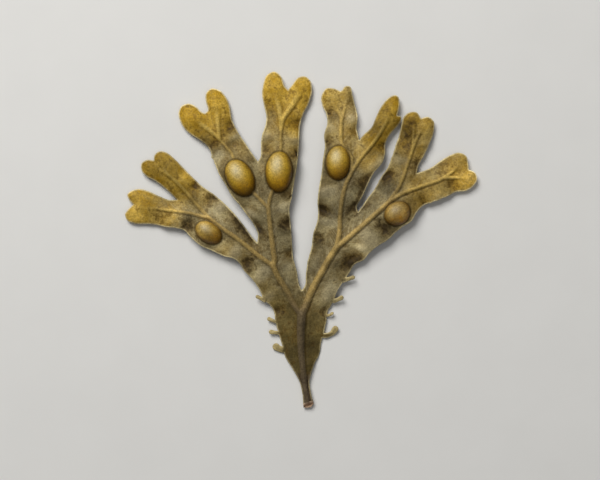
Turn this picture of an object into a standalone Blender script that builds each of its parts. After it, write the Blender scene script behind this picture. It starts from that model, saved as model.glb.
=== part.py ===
"""Bladderwrack frond laid flat: a cut stipe, forked blades, round tips, float bladders, leaflets.

Plan sizes are in millimetres and the meshes are in metres. The frond lies in the XY plane, its
cut stipe towards -Y and its tips towards +Y, and rests on Z = 0. One blade grew as one sheet, so
the sheet is triangulated once and parted at its forks by narrow slots, one object a piece.
"""

import math

import bpy
import numpy as np
from mathutils import Vector, kdtree
from mathutils.geometry import delaunay_2d_cdt

MM = 0.001

# Mesh steps: along the margin, between points of the blade, and along a midrib; the least gap
# that a midrib's and a blade's points keep; the step of curves that are only measured from.
MARGIN_STEP = 1.5
BLADE_STEP = 2.1
RIB_STEP = 1.5
RIB_GAP = 0.7
BLADE_GAP = 1.25
FINE_STEP = 0.1
MERGE = 0.02

# The slot that parts two pieces of one sheet, and how far it runs past its ends.
SLOT = 0.3
SLOT_END = 0.15

# Thickness of the blade and of its margin, and how far in from the margin it thins.
BLADE = 0.9
MARGIN = 0.5
MARGIN_REACH = 2.2
TIP_SWELL = 1.0
TIP_REACH = 9.0
LEAST = 0.4

# A midrib of full width stands this proud above and below, and a narrower one less.
RIB_ABOVE = 0.95
RIB_BELOW = 0.4
RIB_FULL = 3.0

# The stipe is round, and the blade starts where it widens.
STIPE_TOP = -37.0
STIPE_BLEND = 6.0
STIPE_HALF_HEIGHT = 1.35
STIPE_HALF_WIDTH = 2.0
STIPE_EDGE_SHARE = 0.1

# A bladder's depth is this share of its width, and it settles a little onto its underside.
BLADDER_DEPTH = 0.9
BLADDER_SETTLE = 0.2
BLADDER_RINGS = ((1.03, 18), (0.94, 18), (0.74, 14), (0.45, 9), (0.0, 1))

# The margin, as smooth runs between its corners: the forks, the notches in the tips, the cut end.
CUT_LEFT = (0.7, -50.3)
CUT_RIGHT = (3.8, -49.2)
TRUNK_FORK = (0.2, -15.1)
LEFT_FORK = (-13.1, -0.8)
RIGHT_FORK = (17.0, 8.4)
LEFT_OUTER_FORK = (-37.2, 12.1)
LEFT_INNER_FORK = (-12.9, 23.4)
RIGHT_INNER_FORK = (17.4, 29.9)
RIGHT_OUTER_FORK = (34.6, 20.0)
LOWER_LEFT_NOTCH = (-50.4, 10.6)
UPPER_LEFT_NOTCH = (-44.2, 23.9)
INNER_LEFT_NOTCH = (-28.8, 38.0)
MIDDLE_LEFT_NOTCH = (-3.9, 45.0)
MIDDLE_RIGHT_NOTCH = (11.8, 44.6)
SIDE_LOBE_NOTCH = (28.8, 37.3)
UPPER_RIGHT_NOTCH = (36.0, 36.5)
LOWER_RIGHT_NOTCH = (50.3, 21.1)

MARGIN_RUNS = (
    # Up the left side of the stipe and the basal blade, and out to the lowest left tip
    (CUT_LEFT, (0.1, -46.1), (-0.8, -42.5), (-2.7, -38.6), (-4.8, -35.0), (-5.8, -31.1),
     (-6.7, -28.4), (-7.7, -24.3), (-8.2, -21.5), (-9.8, -19.1), (-10.9, -18.3), (-12.3, -15.2),
     (-14.4, -12.0), (-17.2, -9.0), (-18.3, -7.1), (-20.0, -5.7), (-22.9, -4.9), (-26.9, -3.1),
     (-30.2, -1.6), (-33.3, 1.1), (-35.1, 2.9), (-37.2, 3.5), (-40.7, 3.9), (-43.6, 4.6),
     (-46.8, 4.8), (-50.3, 5.0), (-52.4, 6.2), (-52.8, 7.7), (-51.8, 9.2), LOWER_LEFT_NOTCH),
    (LOWER_LEFT_NOTCH, (-51.8, 12.4), (-52.2, 13.5), (-51.1, 14.6), (-48.8, 15.3),
     (-45.9, 14.7), (-42.6, 13.2), (-39.3, 12.0), LEFT_OUTER_FORK),
    # The upper tip of the outer left branch, and back to the left fork
    (LEFT_OUTER_FORK, (-39.5, 14.3), (-41.8, 16.3), (-44.1, 17.9), (-46.4, 19.1),
     (-47.8, 20.8), (-47.9, 22.9), (-46.3, 24.0), UPPER_LEFT_NOTCH),
    (UPPER_LEFT_NOTCH, (-44.0, 25.4), (-42.6, 26.6), (-40.1, 26.1), (-38.0, 24.4),
     (-35.7, 22.1), (-32.4, 18.7), (-29.1, 15.7), (-26.2, 13.8), (-23.1, 11.1), (-20.0, 7.9),
     (-17.0, 4.2), (-14.3, 0.5), LEFT_FORK),
    # The left tip of the inner left branch
    (LEFT_FORK, (-12.9, 1.5), (-14.1, 4.5), (-16.2, 7.4), (-18.3, 10.3), (-20.8, 13.3),
     (-22.7, 16.7), (-24.5, 19.6), (-25.7, 22.6), (-26.6, 24.5), (-27.3, 27.0), (-28.9, 28.9),
     (-31.8, 30.8), (-34.5, 32.9), (-36.2, 35.5), (-36.8, 38.0), (-35.9, 40.1), (-33.7, 40.9),
     (-31.4, 39.9), (-29.7, 38.3), INNER_LEFT_NOTCH),
    (INNER_LEFT_NOTCH, (-27.9, 38.9), (-28.5, 41.2), (-28.6, 43.7), (-27.2, 45.3),
     (-24.5, 44.9), (-22.4, 42.6), (-21.3, 39.5), (-20.8, 36.5), (-19.3, 33.1), (-16.8, 29.1),
     (-14.5, 25.7), LEFT_INNER_FORK),
    # The right tip of the inner left branch, and down the middle gap
    (LEFT_INNER_FORK, (-12.1, 24.9), (-12.0, 27.5), (-11.7, 31.4), (-10.7, 34.2),
     (-10.4, 36.6), (-11.1, 40.2), (-11.7, 43.8), (-11.3, 46.9), (-10.1, 49.6), (-8.0, 50.5),
     (-5.9, 48.9), (-4.9, 46.1), MIDDLE_LEFT_NOTCH),
    (MIDDLE_LEFT_NOTCH, (-2.6, 46.5), (-0.7, 48.8), (1.1, 49.1), (2.8, 47.7), (3.3, 45.3),
     (2.4, 41.2), (0.7, 37.7), (-0.3, 34.2), (-0.5, 30.4), (-0.7, 26.9), (-1.1, 22.9),
     (-2.0, 17.2), (-2.8, 12.5), (-3.5, 9.3), (-3.3, 6.6), (-2.9, 2.7), (-2.7, -1.1),
     (-2.3, -5.6), (-1.3, -9.2), (-0.5, -13.6), TRUNK_FORK),
    # Up the middle gap to the left tip of the inner right branch
    (TRUNK_FORK, (1.0, -14.0), (1.4, -10.4), (2.0, -6.2), (3.1, -2.1), (3.6, 1.8), (4.7, 5.2),
     (5.1, 7.8), (4.9, 11.1), (5.3, 15.4), (6.1, 19.9), (6.5, 24.1), (7.1, 28.0), (6.9, 31.6),
     (7.9, 35.4), (7.5, 37.8), (6.3, 40.5), (6.2, 43.4), (7.8, 45.5), (9.9, 45.4),
     MIDDLE_RIGHT_NOTCH),
    (MIDDLE_RIGHT_NOTCH, (13.2, 45.9), (14.7, 45.9), (15.3, 43.9), (16.1, 40.7), (16.9, 37.2),
     (16.7, 33.3), RIGHT_INNER_FORK),
    # The right tip of the inner right branch, with a small side lobe, and down to the right fork
    (RIGHT_INNER_FORK, (18.8, 31.6), (21.1, 33.8), (22.4, 36.8), (24.1, 40.1), (26.4, 42.8),
     (28.4, 43.5), (29.3, 41.8), (29.4, 39.2), SIDE_LOBE_NOTCH),
    (SIDE_LOBE_NOTCH, (29.5, 37.1), (30.0, 36.8), (30.0, 36.0), (29.4, 34.8), (28.2, 33.3),
     (26.4, 31.2), (25.3, 28.8),
     (25.2, 26.0), (24.4, 23.3), (21.9, 20.2), (20.1, 16.8), (18.4, 13.0), (16.7, 9.6),
     RIGHT_FORK),
    # The upper tip of the outer right branch
    (RIGHT_FORK, (17.8, 9.4), (19.6, 12.1), (21.8, 15.0), (23.8, 18.6), (25.9, 21.7),
     (27.3, 25.3), (28.3, 28.4), (29.3, 31.2), (30.1, 34.7), (30.8, 37.0), (32.6, 38.3),
     (34.6, 38.3), UPPER_RIGHT_NOTCH),
    (UPPER_RIGHT_NOTCH, (38.1, 36.9), (39.8, 35.5), (39.9, 33.0), (38.5, 28.9), (37.0, 25.5),
     (35.0, 21.8), RIGHT_OUTER_FORK),
    # The lowest right tip, and down the right side to the cut end
    (RIGHT_OUTER_FORK, (35.6, 20.3), (39.1, 21.8), (41.8, 23.7), (44.7, 25.4), (47.3, 26.2),
     (49.7, 25.0), (50.1, 23.1), LOWER_RIGHT_NOTCH),
    (LOWER_RIGHT_NOTCH, (52.2, 20.1), (52.8, 18.5), (51.8, 16.4), (49.7, 14.8), (46.6, 14.4),
     (43.7, 13.0), (39.1, 11.2), (36.8, 10.4), (34.7, 8.4), (33.0, 5.6), (29.9, 3.8),
     (28.1, 2.1), (26.4, 0.4), (22.0, -2.5), (20.1, -4.3), (18.8, -5.9), (16.1, -7.3),
     (14.2, -10.2), (12.4, -12.8), (10.9, -15.2), (9.6, -18.5), (8.0, -21.6), (7.6, -24.0),
     (6.9, -27.6), (6.0, -30.9), (5.4, -34.6), (4.1, -37.1), (3.0, -40.4), (2.6, -42.1),
     (3.0, -45.9), CUT_RIGHT),
    # The cut end of the stipe
    (CUT_RIGHT, (2.9, -50.1), (1.7, -50.3), CUT_LEFT),
)

# Midribs: the route, then the width from foot to foot at its start and at its end.
TRUNK_TOP = (0.1, -22.6)
LEFT_PARTING = (-8.4, -7.7)
RIGHT_PARTING = (10.5, -2.3)
OUTER_LEFT_PARTING = (-27.5, 6.6)
INNER_LEFT_PARTING = (-9.8, 9.6)
INNER_RIGHT_PARTING = (14.9, 20.0)
OUTER_RIGHT_PARTING = (25.8, 11.0)
MIDRIBS = (
    (((2.0, -50.2), (1.3, -45.2), (0.8, -41.3), (0.4, -37.5), (0.0, -33.0), (-0.1, -28.9),
      TRUNK_TOP), 1.3, 3.0),
    ((TRUNK_TOP, (-2.1, -19.5), (-4.2, -15.3), (-6.9, -10.9), LEFT_PARTING), 2.2, 2.1),
    ((TRUNK_TOP, (1.3, -19.7), (3.0, -15.4), (5.8, -10.1), (8.8, -4.9), RIGHT_PARTING),
     2.6, 2.3),
    ((LEFT_PARTING, (-12.9, -4.5), (-18.7, 0.2), (-23.7, 3.6), OUTER_LEFT_PARTING),
     1.8, 1.6),
    ((OUTER_LEFT_PARTING, (-33.8, 8.1), (-39.5, 8.9), (-46.8, 9.6)), 1.4, 0.7),
    ((OUTER_LEFT_PARTING, (-30.3, 9.6), (-34.2, 14.2), (-37.5, 17.6), (-40.3, 19.9),
      (-44.6, 21.9)), 1.4, 0.7),
    (((-40.3, 19.9), (-41.3, 21.8), (-41.9, 23.6)), 0.9, 0.6),
    ((LEFT_PARTING, (-8.0, -6.0), (-8.3, -3.3), (-9.1, 2.9), INNER_LEFT_PARTING),
     2.1, 1.8),
    ((INNER_LEFT_PARTING, (-9.3, 12.6), (-8.4, 15.0), (-6.6, 20.3), (-6.0, 26.9),
      (-6.1, 31.7), (-5.4, 36.0), (-3.2, 39.6), (-1.2, 43.2)), 1.6, 0.8),
    (((-5.9, 34.9), (-6.5, 38.4), (-7.6, 41.4)), 1.0, 0.6),
    ((INNER_LEFT_PARTING, (-12.9, 12.8), (-18.2, 18.5), (-21.0, 26.0), (-25.4, 31.2),
      (-28.9, 33.7), (-31.6, 35.7)), 1.5, 0.8),
    (((-24.9, 30.7), (-24.8, 34.8), (-24.7, 39.0)), 1.0, 0.6),
    ((RIGHT_PARTING, (11.4, 2.4), (11.6, 7.0), (12.3, 12.6), (13.3, 16.6),
      INNER_RIGHT_PARTING), 1.9, 1.6),
    ((INNER_RIGHT_PARTING, (17.7, 24.4), (20.9, 28.2), (23.6, 32.0), (25.6, 35.8)),
     1.4, 0.7),
    ((INNER_RIGHT_PARTING, (14.9, 24.8), (12.2, 28.7), (11.9, 34.1), (12.0, 36.2),
      (10.3, 39.7), (9.2, 42.0)), 1.3, 0.8),
    (((12.0, 36.2), (13.0, 39.8), (13.8, 42.0)), 1.0, 0.6),
    ((RIGHT_PARTING, (15.4, 1.9), (20.8, 6.6), OUTER_RIGHT_PARTING), 2.0, 1.8),
    ((OUTER_RIGHT_PARTING, (29.0, 15.6), (32.1, 23.6), (34.7, 30.6), (37.2, 34.6)),
     1.5, 0.7),
    (((33.7, 28.0), (33.6, 32.6), (33.7, 36.0)), 0.9, 0.6),
    ((OUTER_RIGHT_PARTING, (28.9, 13.2), (36.0, 16.1), (42.0, 18.3), (46.1, 21.3),
      (47.7, 23.2)), 1.6, 0.8),
    (((43.0, 18.8), (46.4, 18.7), (48.9, 18.9)), 1.0, 0.6),
)

# Bladders: centre, half length, half width and the angle of the long axis in degrees from +X.
BLADDERS = (
    ((-27.6, 2.2), 4.4, 3.1, -33.0),
    ((-18.2, 18.5), 5.9, 4.1, -62.0),
    ((-6.6, 20.3), 6.2, 4.1, 87.0),
    ((11.0, 23.0), 5.2, 3.7, 87.0),
    ((28.7, 7.9), 4.2, 3.5, 33.0),
)

# Leaflets on the margin: the route from inside the blade to the tip, stalk width, head width.
# The round head's outline has a point at each of these angles from its long axis.
HEAD_ANGLES = (54.0, 18.0, -18.0, -54.0)
LEAFLETS = (
    (((-10.4, -17.8), (-13.1, -17.0)), 0.8, 1.0),
    (((-7.1, -24.5), (-9.7, -23.7)), 0.8, 1.0),
    (((-6.2, -27.8), (-9.2, -27.5)), 0.8, 1.0),
    (((-5.0, -32.5), (-7.9, -32.2)), 1.1, 1.8),
    (((12.4, -11.8), (15.8, -11.2)), 0.8, 1.0),
    (((9.3, -18.5), (12.3, -17.2)), 0.8, 0.9),
    (((7.4, -22.5), (9.4, -21.9)), 0.7, 0.8),
    (((6.2, -28.6), (8.0, -28.3), (9.3, -27.8), (10.2, -26.4)), 0.8, 1.5),
)

# Height of the blade's middle where it rests, and at the tips: x, y, z. A place's pull fades
# with distance, by the power below, and is rounded off close to it.
DRAPE_POWER = 3.0
DRAPE_ROUNDING = 0.7
DRAPE = (
    (2.0, -50.0, 1.15), (1.0, -41.0, 1.0), (-2.6, -31.5, 0.4), (4.0, -31.5, 0.4),
    (-4.0, -25.5, 0.9), (5.0, -25.5, 1.0), (0.8, -22.0, 1.3),
    (-7.0, -10.0, 2.2), (7.0, -9.0, 2.2), (-16.0, -3.0, 2.6), (-9.0, 3.0, 2.9),
    (11.0, 4.0, 2.8), (20.0, 4.0, 2.8), (-33.0, 7.0, 2.2), (-48.0, 9.5, 1.1),
    (-37.0, 18.0, 1.7), (-44.0, 23.0, 1.1), (-21.0, 27.0, 2.4), (-33.0, 37.0, 1.2),
    (-25.0, 41.0, 1.4), (-6.5, 31.0, 2.4), (-8.0, 46.0, 1.3), (0.5, 45.0, 1.2),
    (12.0, 32.0, 2.2), (10.0, 42.0, 1.2), (20.0, 27.0, 2.4), (27.0, 40.0, 1.8),
    (30.0, 18.0, 2.2), (34.0, 31.0, 1.7), (35.5, 36.0, 1.2), (38.0, 16.0, 1.9),
    (48.5, 20.0, 1.2),
)

# Folds of the blade: x, y, the direction of the fold's line in degrees from +X, its reach along
# that line and across it, and its height above or below the drape.
FOLDS = (
    # The outer left branch
    (-42.2, 6.3, 70.0, 1.8, 1.3, -0.6), (-38.8, 5.0, 60.0, 1.6, 1.1, 0.6),
    (-34.2, 4.4, 60.0, 2.2, 1.2, -1.0), (-45.2, 13.0, 100.0, 1.8, 1.4, 0.4),
    (-19.8, -3.4, 60.0, 2.4, 1.6, 0.8), (-15.9, -7.3, 50.0, 2.8, 1.3, -1.4),
    (-11.9, -9.9, 50.0, 2.8, 1.7, 0.9), (-34.0, 19.3, 45.0, 1.7, 1.0, 0.7),
    (-31.6, 17.0, 45.0, 2.1, 1.1, -0.9), (-28.1, 14.8, 45.0, 1.9, 1.0, 0.7),
    (-26.1, 11.7, 45.0, 2.3, 1.2, -1.0), (-23.9, 9.2, 45.0, 2.6, 1.5, 0.8),
    (-17.4, 3.4, -50.0, 4.4, 1.3, -1.0),
    # The inner left branch
    (-27.0, 28.7, 35.0, 2.2, 1.2, -0.9), (-25.0, 25.3, 35.0, 2.2, 1.3, 0.8),
    (-21.0, 34.6, 35.0, 1.9, 1.2, -0.8), (-19.5, 31.2, 35.0, 2.0, 1.1, 0.6),
    (-20.3, 28.6, 35.0, 1.6, 1.0, -0.6), (-15.0, 7.6, -45.0, 2.2, 1.3, 0.8),
    (-13.0, 4.1, -50.0, 2.4, 1.0, -1.1), (-10.2, 41.0, 0.0, 1.8, 1.3, -0.5),
    (-1.2, 37.2, 10.0, 2.1, 1.4, -0.9), (-10.0, 31.0, 0.0, 2.0, 1.3, 0.7),
    (-10.4, 26.9, 0.0, 1.9, 1.1, -0.8), (-2.2, 30.2, 0.0, 2.0, 1.3, 0.7),
    (-1.2, 25.8, 0.0, 1.7, 1.1, -1.0), (-3.5, 13.7, -10.0, 1.7, 1.1, -0.8),
    (-4.8, 10.2, 25.0, 2.4, 1.4, 0.9), (-4.0, 4.6, 10.0, 2.2, 1.4, -1.7),
    (-4.7, 0.2, 20.0, 2.2, 1.5, 0.7), (-3.1, -3.8, 20.0, 1.8, 1.1, -1.2),
    (-4.0, -7.6, 20.0, 2.0, 1.5, 0.6),
    # The trunk's blade
    (-10.0, -16.8, 40.0, 2.4, 1.6, 0.6), (-6.7, -21.1, 30.0, 2.3, 1.2, -1.2),
    (8.4, -14.8, 60.0, 3.2, 1.8, 0.9), (7.5, -20.9, 20.0, 1.7, 1.0, -0.9),
    # The inner right branch
    (7.8, 14.6, 10.0, 2.4, 1.5, 0.9), (6.7, 9.3, -20.0, 2.5, 1.3, -1.5),
    (7.8, 5.8, -15.0, 2.6, 1.3, 0.9), (4.5, 1.1, -30.0, 1.8, 1.1, -1.0),
    (4.3, -5.9, 60.0, 3.2, 1.3, 0.5), (16.8, 10.5, 35.0, 2.4, 1.2, -1.3),
    (14.9, 13.6, 35.0, 1.8, 1.2, 0.5), (18.2, 15.2, 60.0, 2.0, 1.0, -0.7),
    (20.4, 18.7, 30.0, 2.8, 1.3, -1.1), (22.2, 22.9, 30.0, 2.4, 1.5, 0.8),
    (24.8, 28.4, 0.0, 1.4, 1.0, -0.8), (14.9, 36.6, 0.0, 1.8, 1.3, 0.7),
    (16.0, 32.9, 10.0, 1.7, 1.1, -0.9), (8.4, 38.2, 0.0, 1.6, 1.3, -0.6),
    (8.6, 33.6, 0.0, 1.8, 1.3, 0.7), (8.0, 29.6, 0.0, 1.6, 1.1, -0.8),
    # The outer right branch
    (32.2, 31.5, 75.0, 4.0, 1.3, -0.7), (29.4, 23.8, 20.0, 1.9, 1.3, 0.8),
    (25.9, 19.5, 30.0, 2.0, 1.2, -1.4), (35.1, 22.9, 30.0, 1.7, 1.1, -0.9),
    (37.9, 28.6, 20.0, 1.8, 1.3, 0.6), (45.3, 16.6, 110.0, 1.9, 1.3, -0.9),
    (41.0, 12.9, 110.0, 1.6, 1.2, 0.7), (36.7, 11.9, 110.0, 2.1, 1.2, -1.2),
    (42.2, 21.5, 110.0, 1.9, 1.3, -0.6), (38.0, 19.9, 110.0, 2.1, 1.5, 0.5),
    (24.8, 4.0, 120.0, 2.3, 1.3, -1.4), (20.1, 0.9, 130.0, 3.0, 1.9, 1.0),
    (17.9, -2.6, -30.0, 2.0, 1.1, 0.7), (16.2, -5.9, 30.0, 3.2, 1.5, -1.6),
)

# Slots: each starts in a fork or on another slot and ends past the margin.
LEFT_SLOT_CENTRE = (-12.0, 12.3)
RIGHT_SLOT_CENTRE = (12.9, 16.8)
SLOTS = (
    (TRUNK_FORK, (-9.5, -20.7)),
    (TRUNK_FORK, (9.4, -20.3)),
    (LEFT_FORK, (-17.7, -8.9)),
    (LEFT_FORK, (-2.1, -1.1)),
    (RIGHT_FORK, (4.5, 7.3)),
    (RIGHT_FORK, (23.8, -1.9)),
    (LEFT_OUTER_FORK, (-30.9, 18.1)),
    (LEFT_OUTER_FORK, (-38.7, 3.0)),
    (LEFT_INNER_FORK, LEFT_SLOT_CENTRE),
    (LEFT_SLOT_CENTRE, (-19.7, 11.3)),
    (LEFT_SLOT_CENTRE, (-2.3, 11.0)),
    (RIGHT_INNER_FORK, (15.5, 23.4)),
    ((15.5, 23.4), RIGHT_SLOT_CENTRE),
    (RIGHT_SLOT_CENTRE, (4.6, 14.8)),
    (RIGHT_SLOT_CENTRE, (21.5, 18.5)),
    (RIGHT_OUTER_FORK, (26.1, 23.8)),
    (RIGHT_OUTER_FORK, (38.4, 10.1)),
)

# Pieces: a point inside each, and its tissue.
PIECES = {
    "stipe": ((0.0, -33.0), "stipe_tissue"),
    "left_branch": ((-6.3, -11.0), "blade_tissue"),
    "right_branch": ((6.0, -8.0), "blade_tissue"),
    "left_outer_branch": ((-22.0, 2.0), "blade_tissue"),
    "left_inner_branch": ((-9.3, 4.5), "blade_tissue"),
    "right_inner_branch": ((11.1, 12.0), "blade_tissue"),
    "right_outer_branch": ((22.2, 7.5), "blade_tissue"),
    "left_outer_lower_tip": ((-45.3, 9.6), "tip_tissue"),
    "left_outer_upper_tip": ((-39.3, 20.4), "tip_tissue"),
    "left_inner_left_tip": ((-23.7, 29.1), "tip_tissue"),
    "left_inner_right_tip": ((-5.7, 34.5), "tip_tissue"),
    "right_inner_left_tip": ((11.7, 34.5), "tip_tissue"),
    "right_inner_right_tip": ((22.2, 28.5), "tip_tissue"),
    "right_outer_upper_tip": ((32.7, 27.0), "tip_tissue"),
    "right_outer_lower_tip": ((41.7, 18.0), "tip_tissue"),
}

# Tissues: base colour in linear RGB, and roughness.
TISSUES = {
    "stipe_tissue": ((0.075, 0.052, 0.022), 0.6),
    "blade_tissue": ((0.18, 0.14, 0.065), 0.55),
    "tip_tissue": ((0.36, 0.23, 0.04), 0.5),
}
SHARP_ANGLE = math.radians(50.0)


def smooth_curve(points, step):
    """Return points about one step apart on a smooth curve through the given points."""
    route = np.array(points)
    chords = np.linalg.norm(np.diff(route, axis=0), axis=1)
    reach = np.concatenate(((0.0,), np.cumsum(chords)))
    slopes = np.gradient(route, reach, axis=0)
    count = max(1, round(reach[-1] / step))
    places = np.linspace(0.0, reach[-1], count + 1)
    left = np.clip(np.searchsorted(reach, places, side="right") - 1, 0, len(chords) - 1)
    span = chords[left][:, None]
    part = (places - reach[left])[:, None] / span
    start = (1.0 + 2.0 * part) * (1.0 - part) ** 2
    end = part ** 2 * (3.0 - 2.0 * part)
    leaving = part * (1.0 - part) ** 2 * span
    arriving = part ** 2 * (part - 1.0) * span
    return (start * route[left] + end * route[left + 1]
            + leaving * slopes[left] + arriving * slopes[left + 1])


def smooth_step(value):
    """Return 0 below 0 and 1 above 1, with an easy change between."""
    part = np.clip(value, 0.0, 1.0)
    return part * part * (3.0 - 2.0 * part)


def margin_loop(step):
    """Return the closed margin of the whole frond."""
    return np.concatenate([smooth_curve(run, step)[:-1] for run in MARGIN_RUNS])


def leaflet_loop(route, stalk, head, step):
    """Return the closed outline of a club-shaped leaflet with a round head."""
    middle = smooth_curve(route, step)
    along = np.gradient(middle, axis=0)
    along /= np.linalg.norm(along, axis=1)[:, None]
    across = np.column_stack((-along[:, 1], along[:, 0]))
    half = np.linspace(stalk / 2.0, head / 2.0, len(middle))[:, None]
    left = middle + across * half
    right = middle - across * half
    cap = [middle[-1] + head / 2.0 * (across[-1] * math.sin(turn) + along[-1] * math.cos(turn))
           for turn in np.radians(HEAD_ANGLES)]
    return np.concatenate((left, cap, right[::-1]))


def slot_loop(start, end, step):
    """Return the closed outline of a narrow slot between two points."""
    start = np.array(start)
    end = np.array(end)
    along = (end - start) / np.linalg.norm(end - start)
    across = np.array((-along[1], along[0])) * SLOT / 2.0
    side = smooth_curve((start - along * SLOT_END, end + along * SLOT_END), step)
    return np.concatenate((side + across, side[::-1] - across))


def plan_axes(angle):
    """Return the direction at an angle in the plan, and the one across it."""
    turn = math.radians(angle)
    return np.array((math.cos(turn), math.sin(turn))), np.array((-math.sin(turn), math.cos(turn)))


def bladder_points():
    """Return rings of points that follow each bladder from its rim to its crown."""
    points = []
    for centre, half_length, half_width, angle in BLADDERS:
        long_way, short_way = plan_axes(angle)
        for share, count in BLADDER_RINGS:
            for turn in np.linspace(0.0, 2.0 * math.pi, count, endpoint=False):
                points.append(np.array(centre) + share * (
                    half_length * math.cos(turn) * long_way
                    + half_width * math.sin(turn) * short_way))
    return points


def rib_points():
    """Return a row along each midrib's crest and one along each of its feet."""
    points = []
    for route, first_width, last_width in MIDRIBS:
        crest = smooth_curve(route, RIB_STEP)
        along = np.gradient(crest, axis=0)
        along /= np.linalg.norm(along, axis=1)[:, None]
        across = np.column_stack((-along[:, 1], along[:, 0]))
        foot = np.linspace(first_width, last_width, len(crest))[:, None] / 2.0
        points += list(crest) + list(crest + across * foot) + list(crest - across * foot)
    return points


def hex_points(low, high, step):
    """Return rows of evenly spread points between two corners."""
    row_step = step * math.sqrt(3.0) / 2.0
    points = []
    for row, y in enumerate(np.arange(low[1], high[1], row_step)):
        shift = step / 2.0 * (row % 2)
        points += [np.array((x, y)) for x in np.arange(low[0] + shift, high[0], step)]
    return points


def tree_of(points):
    """Return a search tree over points of the plan."""
    tree = kdtree.KDTree(len(points))
    for index, point in enumerate(points):
        tree.insert((point[0], point[1], 0.0), index)
    tree.balance()
    return tree


def spread_points(fixed, offers, gap):
    """Return the offered points that keep a gap to the fixed points and to each other."""
    kept = []
    taken = list(fixed)
    for group in offers:
        tree = tree_of(taken)
        fresh = []
        cells = {}
        for point in group:
            if tree.find((point[0], point[1], 0.0))[2] < gap:
                continue
            cell = (round(point[0] / gap), round(point[1] / gap))
            near = [other for dx in (-1, 0, 1) for dy in (-1, 0, 1)
                    for other in cells.get((cell[0] + dx, cell[1] + dy), ())]
            if any(np.linalg.norm(point - other) < gap for other in near):
                continue
            cells.setdefault(cell, []).append(point)
            fresh.append(point)
        kept += fresh
        taken += fresh
    return kept


def sheet_triangles(loops, loose):
    """Triangulate what the loops enclose; return the plan points and the triangles."""
    points = []
    edges = []
    for loop in loops:
        first = len(points)
        count = len(loop)
        points += [Vector((float(x), float(y))) for x, y in loop]
        edges += [(first + index, first + (index + 1) % count) for index in range(count)]
    points += [Vector((float(x), float(y))) for x, y in loose]
    found = delaunay_2d_cdt(points, edges, [], 1, MERGE)
    return np.array([tuple(point) for point in found[0]]), [tuple(face) for face in found[2]]


def in_slot(point):
    """Tell whether a point of the plan lies in one of the slots."""
    for start, end in SLOTS:
        start = np.array(start)
        way = np.array(end) - start
        length = np.linalg.norm(way)
        way /= length
        ahead = float(np.dot(point - start, way))
        aside = abs(float(way[0] * (point - start)[1] - way[1] * (point - start)[0]))
        if aside < SLOT / 2.0 and -SLOT_END < ahead < length + SLOT_END:
            return True
    return False


def part_sheet(points, triangles):
    """Return the triangles of each piece, gathered from one edge to the next."""
    kept = [tri for tri in triangles if not in_slot(points[list(tri)].mean(axis=0))]
    sharing = {}
    for index, tri in enumerate(kept):
        for side in range(3):
            edge = frozenset((tri[side], tri[(side + 1) % 3]))
            sharing.setdefault(edge, []).append(index)
    centres = tree_of([points[list(tri)].mean(axis=0) for tri in kept])
    pieces = {}
    for name, (inside, _tissue) in PIECES.items():
        start = centres.find((inside[0], inside[1], 0.0))[1]
        reached = {start}
        ahead = [start]
        while ahead:
            tri = kept[ahead.pop()]
            for side in range(3):
                edge = frozenset((tri[side], tri[(side + 1) % 3]))
                fresh = [index for index in sharing[edge] if index not in reached]
                reached.update(fresh)
                ahead += fresh
        pieces[name] = [kept[index] for index in sorted(reached)]
    return pieces


def drape(points):
    """Return the height of the blade's middle: smooth between the resting places."""
    anchors = list(DRAPE)
    for centre, _half_length, half_width, _angle in BLADDERS:
        anchors.append((centre[0], centre[1], half_width * BLADDER_DEPTH - BLADDER_SETTLE))
    total = np.zeros(len(points))
    weights = np.zeros(len(points))
    for x, y, z in anchors:
        apart = (points[:, 0] - x) ** 2 + (points[:, 1] - y) ** 2
        weight = (apart + DRAPE_ROUNDING ** 2) ** (-DRAPE_POWER / 2.0)
        total += weight * z
        weights += weight
    return total / weights


def fold_height(points):
    """Return how far the folds lift or lower the blade."""
    height = np.zeros(len(points))
    for x, y, angle, reach_along, reach_across, rise in FOLDS:
        line, aside = plan_axes(angle)
        offset = points - np.array((x, y))
        height += rise * np.exp(-(offset @ line / reach_along) ** 2
                                - (offset @ aside / reach_across) ** 2)
    return height


def rib_share(points):
    """Return 1 on a midrib's crest and 0 past its foot, scaled by the midrib's width."""
    share = np.zeros(len(points))
    for route, first_width, last_width in MIDRIBS:
        crest = smooth_curve(route, FINE_STEP)
        tree = tree_of(crest)
        widths = np.linspace(first_width, last_width, len(crest))
        for index, (x, y) in enumerate(points):
            _place, nearest, apart = tree.find((x, y, 0.0))
            foot = widths[nearest] / 2.0
            if apart < foot:
                rise = (1.0 - (apart / foot) ** 2) ** 2 * min(1.0, widths[nearest] / RIB_FULL)
                share[index] = max(share[index], rise)
    return share


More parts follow.
